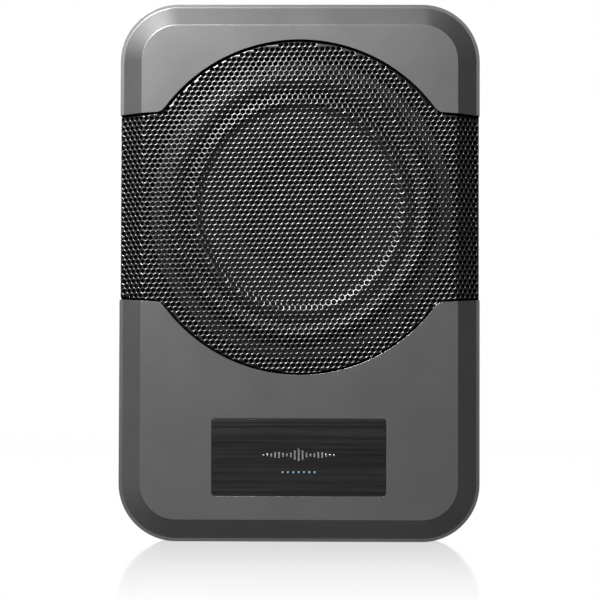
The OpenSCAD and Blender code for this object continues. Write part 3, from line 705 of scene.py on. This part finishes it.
@dataclass
class PerforatedGrille:
    """The embossed sheet with its six-sided pattern of round holes."""

    pitch: float = 3.55 * MM
    hole_r: float = 1.31 * MM
    lattice_turn: float = math.radians(0.9)
    thickness: float = 0.9 * MM
    crown: float = 0.02 * MM
    rim: float = 0.3 * MM
    centre_z: float = 214.0 * MM
    disc_r: float = 106.2 * MM
    band_half: float = 59.4 * MM
    band_slope: float = 1.6 * MM
    taper_from: float = 91.0 * MM
    taper_run: float = 25.5 * MM
    back_flare: float = 1.12
    corner_r: float = 8.8 * MM
    drop: float = 2.2 * MM
    side_gap: float = 0.4 * MM
    ledge: float = 2.1 * MM
    bevel: float = 12.0 * MM
    bevel_depth: float = 7.0 * MM
    emboss_r: tuple[float, ...] = (0.0, 30.0, 62.5, 66.7, 74.4, 82.0, 98.0, 106.2)
    emboss_under: tuple[float, ...] = (1.2, 1.35, 1.7, 0.05, 1.4, 0.15, 2.15, 2.2)
    pieces: list[bpy.types.Object] = field(default_factory=list)

    def profile(self) -> tuple[np.ndarray, np.ndarray]:
        """Returns the sheet's section from the middle to the side edge, and the distance along it."""
        low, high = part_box("front_cover")
        face, half_w = low.y + self.drop, high.x - self.side_gap
        ledge_y = face + self.bevel_depth
        end_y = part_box("grille")[1].y
        points = [
            (0.0, face), (half_w - self.ledge - self.bevel, face), (half_w - self.ledge, ledge_y),
            (half_w, ledge_y), (half_w, end_y)
        ]
        path = rounded_path(points, [3.0 * MM, 1.5 * MM, 0.9 * MM], 8)
        step = np.hypot(*np.diff(path, axis=0).T)
        return path, np.concatenate([[0.0], np.cumsum(step)])

    def outline(self, at: np.ndarray) -> np.ndarray:
        """Signed distance to the sheet's outline at unrolled points, minus inside."""
        u, v = at[:, 0], at[:, 1]
        disc = np.hypot(u, v) - self.disc_r
        slope = self.band_slope * np.clip((np.abs(u) - self.taper_from) / self.taper_run, 0.0, 1.0)
        band = np.abs(v) - (self.band_half - slope)
        r = self.corner_r
        inner = np.hypot(np.maximum(r - disc, 0.0), np.maximum(r - band, 0.0))
        joined = np.maximum(r, np.minimum(disc, band)) - inner
        return np.maximum(joined, np.abs(u) - self.end)

    def pulled_in(self, at: np.ndarray, margin: float) -> np.ndarray:
        """Moves unrolled points that lie outside the outline, less a margin, back onto it."""
        at = at.copy()
        h = 0.01 * MM
        for _ in range(3):
            over = self.outline(at) + margin
            across = np.stack([
                self.outline(at + [h, 0]) - self.outline(at - [h, 0]),
                self.outline(at + [0, h]) - self.outline(at - [0, h])
            ], axis=1) / (2 * h)
            across /= np.maximum(np.linalg.norm(across, axis=1), 1e-9)[:, None]
            at -= across * np.maximum(over, 0.0)[:, None]
        return at

    def emboss(self, r: np.ndarray) -> np.ndarray:
        """Height of the pressed rings over the flat sheet, with soft bends."""
        grid = np.arange(0.0, 125.0, 0.1)
        under = np.interp(grid, self.emboss_r, self.emboss_under)
        kernel = np.hanning(25)
        padded = np.concatenate([under[12:0:-1], under, np.full(12, under[-1])])
        soft = np.convolve(padded, kernel / kernel.sum(), "valid")
        return self.drop - np.interp(r / MM, grid, soft) * MM

    def raised(self, at: np.ndarray, below: np.ndarray | float) -> np.ndarray:
        """Lifts unrolled points onto the sheet, or below its face.

        Args:
            at: Points as distance across and height from the middle.
            below: Distance under the outer face.

        Returns:
            Points in space.
        """
        path, along = self.profile()
        u = np.abs(at[:, 0])
        x, y = np.interp(u, along, path[:, 0]), np.interp(u, along, path[:, 1])
        h = 0.5 * MM
        ahead, behind = np.minimum(u + h, along[-1]), u - h
        past = np.sign(behind) * np.interp(np.abs(behind), along, path[:, 0])
        dx = np.interp(ahead, along, path[:, 0]) - past
        dy = np.interp(ahead, along, path[:, 1]) - np.interp(np.abs(behind), along, path[:, 1])
        length = np.hypot(dx, dy)
        normal = np.stack([dy, -dx], axis=1) / length[:, None]
        flat_end = path[1, 0]
        room = np.maximum(flat_end - x, 0.0) * self.bevel_depth / self.bevel
        height = np.minimum(self.emboss(np.hypot(x, at[:, 1])), room)
        height[np.hypot(x, at[:, 1]) > self.disc_r + 0.4 * MM] = 0.0
        lift = np.maximum(height, 0.0) - below
        side = np.where(at[:, 0] < 0, -1.0, 1.0)
        return np.stack([
            side * (x + normal[:, 0] * lift), y + normal[:, 1] * lift, at[:, 1] + self.centre_z
        ], axis=1)

    def cells(self) -> np.ndarray:
        """Centres of the holes that lie on the sheet or cross its edge."""
        row = self.pitch * math.sqrt(3) / 2
        across, up = int(self.end / self.pitch) + 4, int(self.disc_r / row) + 4
        grid = np.array([
            ((i + 0.5 * (j % 2)) * self.pitch, j * row)
            for j in range(-up, up + 1) for i in range(-across, across + 1)
        ])
        c, s = math.cos(self.lattice_turn), math.sin(self.lattice_turn)
        grid = grid @ np.array([[c, s], [-s, c]])
        reach = self.pitch / math.sqrt(3)
        return grid[self.outline(grid) < reach]

    def build(self) -> None:
        """Builds the sheet as one closed mesh with every hole cut through it."""
        path, along = self.profile()
        self.end = along[-1]
        centres = self.cells()
        turn = self.lattice_turn
        sixth = turn + np.radians(30 + 60 * np.arange(6))
        twelfth = turn + np.radians(30 + 30 * np.arange(12))
        round6 = np.stack([np.cos(sixth), np.sin(sixth)], axis=1)
        round12 = np.stack([np.cos(twelfth), np.sin(twelfth)], axis=1)
        corners = centres[:, None] + round6 * self.pitch / math.sqrt(3)
        kept = (self.outline(corners.reshape(-1, 2)).reshape(-1, 6) < -0.05 * MM).any(axis=1)
        centres, corners = centres[kept], corners[kept]
        bored = self.outline(centres) < -0.75 * self.hole_r
        count = len(centres)

        flat = corners.reshape(-1, 2)
        keys = np.round(flat / (0.01 * MM)).astype(np.int64)
        _, first, index = np.unique(keys, axis=0, return_index=True, return_inverse=True)
        outer = self.pulled_in(flat[first], 0.0)
        index = index.reshape(count, 6)
        total = len(outer)
        bores = np.nonzero(bored)[0]
        ring = self.pulled_in((centres[bores][:, None] + round12 * self.hole_r).reshape(-1, 2), self.rim)
        back_r = self.hole_r * self.back_flare
        floor = self.pulled_in((centres[bores][:, None] + round6 * back_r).reshape(-1, 2), self.rim * 0.8)
        verts = np.vstack([
            self.raised(outer, 0.0), self.raised(outer, self.thickness),
            self.raised(ring, self.crown), self.raised(floor, self.thickness)
        ])
        ring_at = 2 * total
        floor_at = ring_at + len(ring)

        faces, outward = [], []
        for slot, cell in enumerate(bores):
            c = index[cell]
            h = ring_at + slot * 12 + np.arange(12)
            b = floor_at + slot * 6 + np.arange(6)
            for k in range(6):
                n = (k + 1) % 6
                h0, h1, h2 = h[2 * k], h[2 * k + 1], h[(2 * k + 2) % 12]
                faces += [
                    (c[k], c[n], h1), (c[k], h1, h0), (c[n], h2, h1), (h0, h1, b[k]), (h1, h2, b[n]),
                    (h1, b[n], b[k]), (c[k] + total, b[k], b[n], c[n] + total)
                ]
                outward += [True] * 3 + [False] * 4
        for cell in np.nonzero(~bored)[0]:
            c = [int(i) for i in index[cell]]
            faces.append(tuple(c))
            faces.append(tuple(i + total for i in reversed(c)))
            outward += [True, False]
        faces += self.edge_walls(faces, total)
        outward += [False] * (len(faces) - len(outward))
        mesh = bpy.data.meshes.new("grille_sheet")
        mesh.from_pydata(verts.tolist(), [], [tuple(int(i) for i in f) for f in faces])
        mesh.polygons.foreach_set("use_smooth", outward)
        # Faces that do not face out (hole walls, back and edges) take the second material, the painted shade.
        mesh.polygons.foreach_set("material_index", [int(not out) for out in outward])
        sheet = shown("grille_sheet", mesh)
        log.info("grille has %d holes and %d faces", len(bores), len(faces))
        self.pieces.append(attach(sheet, "case", "grille_steel", "grille"))

    @staticmethod
    def edge_walls(faces: list[tuple[int, ...]], total: int) -> list[tuple[int, int, int, int]]:
        """Returns the narrow walls that close the sheet along its outline.

        Args:
            faces: The faces made so far.
            total: Count of corner points in the outer layer, and so the step to the inner one.

        Returns:
            One four-sided face for each open edge of the outer layer.
        """
        uses: dict[tuple[int, int], int] = {}
        for face in faces:
            for a, b in zip(face, face[1:] + face[:1]):
                if a < total and b < total:
                    uses[(int(a), int(b))] = uses.get((int(a), int(b)), 0) + 1
        return [(b, a, a + total, b + total) for a, b in uses if (b, a) not in uses]

    def dress(self) -> None:
        """Gives the sheet its coat, with a dull near-black painted shade on its hole walls, back and edges,
        and the frame under it a black that is partly its own and partly painted shade.
        """
        for piece in self.pieces:
            inner = [face.material_index for face in piece.data.polygons]
            dress(piece, GRILLE_COAT)
            # Second material: the painted shade for the faces that do not face out.
            piece.data.materials.append(GRILLE_BORE_SHADE.material())
            piece.data.polygons.foreach_set("material_index", inner)
        # The frame's near-black is partly its own plastic and partly painted shade.
        dress(frame["nodes"]["grille_frame"], FRAME_BLACK_AND_SHADE)


@dataclass
class Badge:
    """The brushed plate with its raised wave mark and the row of dots under it."""

    bars: int = 19
    pitch: float = 2.5 * MM
    bar_w: float = 1.1 * MM
    centre_z: float = 53.8 * MM
    rise: float = 0.25 * MM
    mark_up: float = 1.5 * MM
    dots: int = 7
    dot_pitch: float = 3.4 * MM
    dot_r: float = 0.7 * MM
    dots_down: float = 9.5 * MM
    parts: dict[str, bpy.types.Object] = field(default_factory=dict)

    def bar_height(self, k: int) -> float:
        """Height of the upright bar number k."""
        u = (k - (self.bars - 1) / 2) / ((self.bars - 1) / 2)
        wave = 0.55 + 0.45 * math.cos(math.radians(540 * u))
        return (1.4 + 6.2 * math.cos(math.radians(80 * u)) ** 2 * wave) * MM

    @staticmethod
    def pill(bm: bmesh.types.BMesh, at: Vector, width: float, height: float, rise: float) -> None:
        """Adds a raised bar with round ends and a small shoulder."""
        half_w, straight = width / 2, max(height - width, 0.0) / 2
        rings = []
        for inset, depth in ((0.0, 0.0), (0.0, 0.6), (0.25, 1.0)):
            r = half_w * (1 - inset)
            ring = []
            for k in range(24):
                a = 2 * math.pi * (k + 0.5) / 24
                z = math.copysign(straight, math.sin(a)) + r * math.sin(a)
                ring.append(bm.verts.new(at + Vector((r * math.cos(a), -rise * depth, z))))
            rings.append(ring)
        for low, high in zip(rings, rings[1:]):
            for k in range(24):
                n = (k + 1) % 24
                bm.faces.new((low[k], low[n], high[n], high[k]))
        bm.faces.new(rings[-1])
        bm.faces.new(rings[0][::-1])

    def build(self) -> None:
        """Builds the plate, the bars and the dots."""
        self.parts["plate"] = attach(
            eased("badge_plate", "badge_face", 0.3 * MM, 30.0, 3), "case", "badge_black", "badge_plate"
        )
        face_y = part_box("badge_plate")[0].y
        bars, dots = bmesh.new(), bmesh.new()
        for k in range(self.bars):
            at = Vector(((k - (self.bars - 1) / 2) * self.pitch, face_y, self.centre_z + self.mark_up))
            self.pill(bars, at, self.bar_w, self.bar_height(k), self.rise)
        for k in range(self.dots):
            at = Vector(((k - (self.dots - 1) / 2) * self.dot_pitch, face_y, self.centre_z - self.dots_down))
            self.pill(dots, at, 2 * self.dot_r, 2 * self.dot_r, self.rise)
        for name, bm in (("bars", bars), ("dots", dots)):
            bmesh.ops.recalc_face_normals(bm, faces=bm.faces)
            piece = smooth(poured("emblem_" + name, bm), weighted=True)
            self.parts[name] = attach(piece, "case", "emblem_silver", "badge_emblem")

    def dress(self) -> None:
        """Gives the plate its brushed black and the mark its silver and blue grey."""
        dress(self.parts["plate"], BADGE_PLATE)
        dress(self.parts["bars"], EMBLEM_SILVER)
        dress(self.parts["dots"], EMBLEM_BLUE)


# ---- speaker ------------------------------------------------------------------


@dataclass
class Speaker:
    """The driver behind the grille, from its seal to its damping pad."""

    centre_z: float = 214.0 * MM
    flange_front: float = -25.1 * MM
    roll_mid: float = 79.0 * MM
    roll_half: float = 6.5 * MM
    roll_rise: float = 4.6 * MM
    sheet: float = 0.7 * MM
    spider_in: float = 19.3 * MM
    spider_out: float = 55.5 * MM
    spider_y: float = -4.0 * MM
    neck_y: float = -10.0 * MM
    cap_r: float = 42.0 * MM
    parts: dict[str, tuple[bpy.types.Object, Finish]] = field(default_factory=dict)

    def add(self, piece: bpy.types.Object, finish: Finish) -> None:
        """Keeps a piece with the finish that it will take."""
        self.parts[piece.name] = (piece, finish)

    def stretch(self, piece: bpy.types.Object, fixed_r: float, moving_r: float) -> None:
        """Bakes a ring's placement into its mesh.

        Args:
            piece: The ring.
            fixed_r: Radius that stays with the case; not used.
            moving_r: Radius that moves with the cone; not used.
        """
        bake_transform(piece)

    def add_soft(
        self, piece: bpy.types.Object, node: str, reach: tuple[float, float], finish: Finish
    ) -> None:
        """Adds a soft piece that stands for a node, hides the node and bakes the piece's placement."""
        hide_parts(node)
        self.stretch(piece, *reach)
        self.add(piece, finish)

    def build_surround(self) -> None:
        """Builds the half-roll rubber edge."""
        base = self.flange_front - 0.8 * MM
        angle = np.linspace(math.pi, 0.0, 25)
        roll = np.stack([
            self.roll_mid + self.roll_half * np.cos(angle), base - self.roll_rise * np.sin(angle) ** 0.85
        ], axis=1)
        face = np.vstack([[[68.2 * MM, base + 0.1 * MM]], roll, [[89.3 * MM, base]]])
        ring = lathe("surround_roll", shell_profile(face, self.sheet), self.centre_z)
        self.add_soft(ring, "surround", (84.5 * MM, 70.5 * MM), SURROUND_RUBBER)

    def build_spider(self) -> None:
        """Builds the corrugated cloth ring that centres the coil."""
        waves, share = 5, np.linspace(0.0, 1.0, 91)
        turns = np.sin(2 * math.pi * waves * (share - 0.12) / 0.76)
        wave = np.where((share < 0.12) | (share > 0.88), 0.0, turns)
        r = self.spider_in + (self.spider_out - self.spider_in) * share
        face = np.stack([r, self.spider_y - 1.1 * MM * wave], axis=1)
        ring = lathe("spider_cloth_ring", shell_profile(face, 0.6 * MM), self.centre_z, 96)
        self.add_soft(ring, "spider", (53.0 * MM, 21.0 * MM), SPIDER_CLOTH)

    def build_cone(self) -> None:
        """Builds the paper cone and its dust cap."""
        edge = self.flange_front + 0.35 * MM
        face = flowing([
            (19.0 * MM, self.neck_y), (30.0 * MM, -14.4 * MM), (self.cap_r, -17.4 * MM),
            (56.0 * MM, edge + 3.0 * MM), (67.0 * MM, edge + 0.6 * MM), (70.0 * MM, edge)
        ], 40)
        cone = lathe("cone_paper_shell", shell_profile(face, 1.0 * MM), self.centre_z)
        self.add(attach(cone, "cone_assembly", "cone_paper", "cone"), CONE_PAPER)
        rim = self.neck_y - 8.6 * MM
        dish = flowing([
            (0.0, rim + 5.0 * MM), (14.0 * MM, rim + 4.5 * MM), (28.0 * MM, rim + 2.8 * MM),
            (38.0 * MM, rim + 0.7 * MM), (41.0 * MM, rim + 0.05 * MM), (self.cap_r, rim + 0.1 * MM)
        ], 36)
        dish[0, 0] = 0.0
        cap = lathe("dust_cap_dish", shell_profile(dish, 0.8 * MM), self.centre_z, closed=False)
        bm = bmesh.new()
        bm.from_mesh(cap.data)
        bmesh.ops.recalc_face_normals(bm, faces=bm.faces)
        bm.to_mesh(cap.data)
        bm.free()
        self.add(attach(cap, "cone_assembly", "cap_paper", "dust_cap"), CAP_PAPER)

    def build_leads(self) -> None:
        """Copies the braided leads into a piece of their own and hides the node."""
        leads = shown("braided_leads", frame["nodes"]["tinsel_leads"].data.copy())
        self.add_soft(leads, "tinsel_leads", (80.0 * MM, 46.0 * MM), COIL_COPPER)

    def build(self) -> None:
        """Builds the rings and keeps the machined pieces with rounded edges."""
        self.build_leads()
        self.build_surround()
        self.build_spider()
        self.build_cone()
        eased_nodes = {
            "driver_basket": ("basket_pressing", "case", "basket_steel", 0.3, BASKET_STEEL),
            "driver_gasket": ("driver_seal", "case", "gasket_grey", 0.25, SEAL_GREY),
            "coil_former": ("former_tube", "cone_assembly", "former_board", 0.08, FORMER_BOARD),
            "voice_coil": ("coil_winding", "cone_assembly", "coil_copper", 0.2, COIL_COPPER),
            "top_plate": ("top_plate_ring", "case", "plate_zinc", 0.5, PLATE_ZINC),
            "magnet": ("magnet_ring", "case", "magnet_ferrite", 0.8, MAGNET_FERRITE),
            "pole_yoke": ("yoke_and_pole", "case", "plate_zinc", 0.6, PLATE_ZINC),
            "damping_pad": ("damping_disc", "case", "foam_black", 0.5, FOAM),
        }
        for node, (name, body, slot, width, finish) in eased_nodes.items():
            self.add(attach(eased(node, name, width * MM), body, slot, node), finish)

    def dress(self) -> None:
        """Gives each piece of the speaker its finish."""
        dress_all(self.parts)
        nodes = frame["nodes"]
        for name, finish in (("terminal_strip", BOARD_BROWN), ("driver_wires", WIRE_BLACK)):
            dress(nodes[name], finish)


# ---- case and inner parts -----------------------------------------------------


@dataclass
class EasedSet:
    """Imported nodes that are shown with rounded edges, each in its own finish."""

    title: str
    rows: dict[str, tuple[str, str, str, float, Finish]]
    plain: dict[str, Finish] = field(default_factory=dict)
    parts: dict[str, tuple[bpy.types.Object, Finish]] = field(default_factory=dict)

    def build(self) -> None:
        """Builds a rounded piece for each row."""
        for node, (name, body, slot, width, finish) in self.rows.items():
            piece = attach(eased(node, name, width * MM), body, slot, node)
            self.parts[name] = (piece, finish)

    def dress(self) -> None:
        """Gives each rounded piece and each kept node its finish."""
        dress_all(self.parts)
        for node, finish in self.plain.items():
            dress(frame["nodes"][node], finish)


def rear_case() -> EasedSet:
    """The black case with its inserts, feet, screws and blank label."""
    return EasedSet(
        "rear case",
        {
            "rear_case": ("case_moulding", "case", "case_black", 0.5, CASE_PLASTIC),
            "cover_screws": ("long_case_screws", "case", "screw_black", 0.25, SCREW_BLACK),
            "bracket_inserts": ("brass_inserts", "case", "insert_brass", 0.25, INSERT_BRASS),
            "rubber_feet": ("rubber_pads", "case", "foot_rubber", 0.5, FOOT_RUBBER),
            "rating_label": ("blank_label", "case", "label_foil", 0.08, LABEL_FOIL),
        },
        {"case_gasket": FOAM, "driver_screws": SCREW_BLACK},
    )


def amplifier() -> EasedSet:
    """The amplifier board and what stands on it."""
    return EasedSet(
        "amplifier",
        {
            "heatsink": ("heatsink_bar", "case", "heatsink_alu", 0.3, HEATSINK_ALU),
            "filter_capacitors": ("capacitor_cans", "case", "part_black", 0.8, PART_BLACK),
            "output_transistors": ("power_devices", "case", "part_black", 0.3, PART_BLACK),
            "power_transformer": ("transformer_ring", "case", "coil_copper", 1.2, COIL_COPPER),
            "output_inductor": ("inductor_ring", "case", "coil_copper", 0.8, COIL_COPPER),
            "fuse_holder": ("fuse_block", "case", "part_black", 0.3, PART_BLACK),
        },
        {"amp_board": BOARD_GREEN, "board_screws": SCREW_ZINC, "fuse": FUSE_RED},
    )


def connector_bay() -> EasedSet:
    """The panel in the side with its sockets, jack, lamp and controls."""
    return EasedSet(
        "connector bay",
        {
            "connector_panel": ("bay_panel", "case", "panel_black", 0.2, PANEL_BLACK),
            "power_socket": ("power_socket_shell", "case", "socket_ivory", 0.3, SOCKET_IVORY),
            "speaker_socket": ("speaker_socket_shell", "case", "part_black", 0.3, PART_BLACK),
            "rca_shells": ("phono_shells", "case", "pin_gold", 0.2, PIN_GOLD),
            "remote_jack": ("remote_jack_shell", "case", "part_black", 0.2, PART_BLACK),
            "power_led": ("lamp_lens", "case", "led_lens", 0.25, LED_LENS),
            "gain_knob": ("gain_knob_fluted", "gain_control", "knob_black", 0.2, KNOB_BLACK),
            "lowpass_knob": ("lowpass_knob_fluted", "lowpass_control", "knob_black", 0.2, KNOB_BLACK),
            "phase_slider": ("phase_slider_cap", "phase_control", "knob_black", 0.12, KNOB_BLACK),
        },
        {
            "control_board": BOARD_GREEN, "power_pins": PIN_GOLD, "speaker_pins": SCREW_ZINC,
            "gain_pot": POT_BLUE, "lowpass_pot": POT_BLUE, "phase_switch": PLATE_ZINC,
            "panel_screws": SCREW_ZINC,
        },
    )


@dataclass
class PanelMarks:
    """The coloured phono inserts and the plain scale marks round the two knobs."""

    mid_y: float = 11.0 * MM
    knobs_z: tuple[float, ...] = (122.0 * MM, 138.0 * MM)
    inner_r: float = 6.2 * MM
    outer_r: float = 7.3 * MM
    half_w: float = 0.16 * MM
    proud: float = 0.08 * MM
    steps: int = 11
    sweep: float = math.radians(280)
    parts: dict[str, tuple[bpy.types.Object, Finish]] = field(default_factory=dict)

    def build_inserts(self) -> None:
        """Splits the insulators into the red one at the front and the white one behind it."""
        inserts = (("phono_red_insert", RCA_RED, True), ("phono_white_insert", RCA_WHITE, False))
        for name, finish, front in inserts:
            piece = eased("rca_insulators", name, 0.15 * MM)
            bm = bmesh.new()
            bm.from_mesh(piece.data)
            others = [vert for vert in bm.verts if (vert.co.y < self.mid_y) != front]
            bmesh.ops.delete(bm, geom=others, context="VERTS")
            bm.to_mesh(piece.data)
            bm.free()
            self.parts[name] = (attach(piece, "case", "rca_plastic", "rca_insulators"), finish)

    def build_marks(self) -> None:
        """Raises a row of short marks round each knob, spread over its turn."""
        face_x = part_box("connector_panel")[1].x
        bm = bmesh.new()
        for centre_z in self.knobs_z:
            for k in range(self.steps):
                turn = (k / (self.steps - 1) - 0.5) * self.sweep
                made = bmesh.ops.create_cube(bm, size=1.0)["verts"]
                long = self.outer_r - self.inner_r
                bmesh.ops.scale(bm, vec=(2 * self.proud, 2 * self.half_w, long), verts=made)
                bmesh.ops.translate(bm, vec=(0, 0, self.inner_r + long / 2), verts=made)
                bmesh.ops.rotate(bm, matrix=Matrix.Rotation(turn, 3, "X"), verts=made)
                bmesh.ops.translate(bm, vec=(face_x, self.mid_y, centre_z), verts=made)
        marks = attach(poured("knob_scale_marks", bm), "case", "label_foil")
        self.parts[marks.name] = (marks, MARK_WHITE)

    def build(self) -> None:
        """Builds the inserts and the marks."""
        self.build_inserts()
        self.build_marks()

    def dress(self) -> None:
        """Gives each piece its finish."""
        dress_all(self.parts)


# ---- studio -------------------------------------------------------------------


@dataclass
class Softbox:
    """A rectangular studio light."""

    name: str
    at: Colour
    aim: Colour
    size: tuple[float, float]
    watts: float

    def build(self) -> None:
        """Hangs the light and turns it to its aim."""
        lamp = bpy.data.lights.new(self.name, "AREA")
        lamp.shape = "RECTANGLE"
        lamp.size, lamp.size_y = self.size
        lamp.energy = self.watts
        made = bpy.data.objects.new(self.name, lamp)
        made.visible_camera = False
        made.location = self.at
        direction = Vector(self.aim) - Vector(self.at)
        made.rotation_euler = direction.to_track_quat("-Z", "Y").to_euler()
        bpy.context.scene.collection.objects.link(made)


@dataclass
class Studio:
    """A pale floor, a white surround, soft light and the camera."""

    distance: float = 1.8
    eye_x: float = 0.03
    eye_z: float = 0.08
    aim_x: float = 0.0005
    aim_z: float = 0.1543
    roll: float = math.radians(0.17)
    frame_width: float = 0.3833
    ambient: float = 0.085
    backdrop: float = 1.0
    lights: list[Softbox] = field(default_factory=lambda: [
        Softbox("key", (-0.495, -1.072, 1.108), (0.0, 0.0, 0.2), (0.26, 0.40), 42.0),
        Softbox("fill", (-1.2, -1.2, 0.96), (0.0, 0.0, 0.17), (0.5, 0.9), 6.0),
    ])

    def surround(self) -> None:
        """Makes the surround white to the camera and dimmer to everything else."""
        world = bpy.data.worlds.new("white surround")
        bpy.context.scene.world = world
        world.use_nodes = True
        desk = Desk(world.node_tree)
        back = world.node_tree.nodes["Background"]
        seen = desk.put("LightPath").outputs["Is Camera Ray"]
        axes = desk.put("SeparateXYZ", Vector=desk.put("TexCoord").outputs["Generated"])
        behind = desk.ranged(axes.outputs["Y"], 0.93, 0.98)
        desk.feed(back.inputs["Color"], (1.0, 1.0, 1.0))
        lit = desk.spread(behind, self.ambient, self.backdrop)
        desk.feed(back.inputs["Strength"], desk.maths("MAXIMUM", seen, lit))

    def floor(self) -> None:
        """Lays the pale floor, with a faint soft reflection."""
        mesh = bpy.data.meshes.new("floor")
        size = 8.0
        corners = [(-size, -size, 0), (size, -size, 0), (size, size, 0), (-size, size, 0)]
        mesh.from_pydata(corners, [], [(0, 1, 2, 3)])
        piece = shown("studio_floor", mesh)
        made = bpy.data.materials.new("floor_white")
        made.use_nodes = True
        desk = Desk(made.node_tree)
        shader = made.node_tree.nodes["Principled BSDF"]
        output = made.node_tree.nodes["Material Output"]
        shader.inputs["Base Color"].default_value = (0.05, 0.05, 0.05, 1.0)
        shader.inputs["Roughness"].default_value = 0.9
        glow = desk.put("Emission", Color=(1.0, 1.0, 1.0), Strength=1.0)
        seen = desk.put("LightPath").outputs["Is Camera Ray"]
        lit = desk.mixed(seen, shader.outputs[0], glow.outputs[0])
        gloss = desk.put("BsdfGlossy", Color=(1.0, 1.0, 1.0), Roughness=0.05)
        depth = desk.put("SeparateXYZ", Vector=desk.place()).outputs["Y"]
        share = desk.ranged(depth, -0.65, -0.04, To_Min=0.0, To_Max=0.33)
        mixed = desk.mixed(desk.times(share, seen), lit, gloss.outputs[0])
        desk.feed(output.inputs["Surface"], mixed)
        piece.data.materials.append(made)

    def camera(self) -> None:
        """Sets the camera low in front of the case, tilted a little up."""
        front = cad_box[0][1]
        eye = Vector((self.eye_x, front - self.distance, self.eye_z))
        aim = Vector((self.aim_x, front, self.aim_z))
        lens = bpy.data.cameras.new("camera")
        lens.sensor_width = 36.0
        lens.lens = lens.sensor_width * (aim - eye).length / self.frame_width
        made = bpy.data.objects.new("camera", lens)
        made.location = eye
        level = (aim - eye).to_track_quat("-Z", "Y").to_matrix()
        made.rotation_euler = (level @ Matrix.Rotation(self.roll, 3, "Z")).to_euler()
        bpy.context.scene.collection.objects.link(made)
        bpy.context.scene.camera = made

    def build(self) -> None:
        """Sets up the whole studio."""
        bpy.context.scene.view_settings.view_transform = "Standard"
        self.surround()
        self.floor()
        self.camera()
        for light in self.lights:
            light.build()


def main() -> None:
    """Builds and dresses every sub-assembly in order, then the studio."""
    logging.basicConfig(level=logging.INFO, format="%(name)s: %(message)s")
    parts = (FrontCover(), PerforatedGrille(), Badge(), Speaker(), rear_case(), amplifier(), connector_bay(),
             PanelMarks())
    for part in parts:
        part.build()
        part.dress()
        log.info("%s built", getattr(part, "title", type(part).__name__))
    Studio().build()


if __name__ == "__main__":
    main()
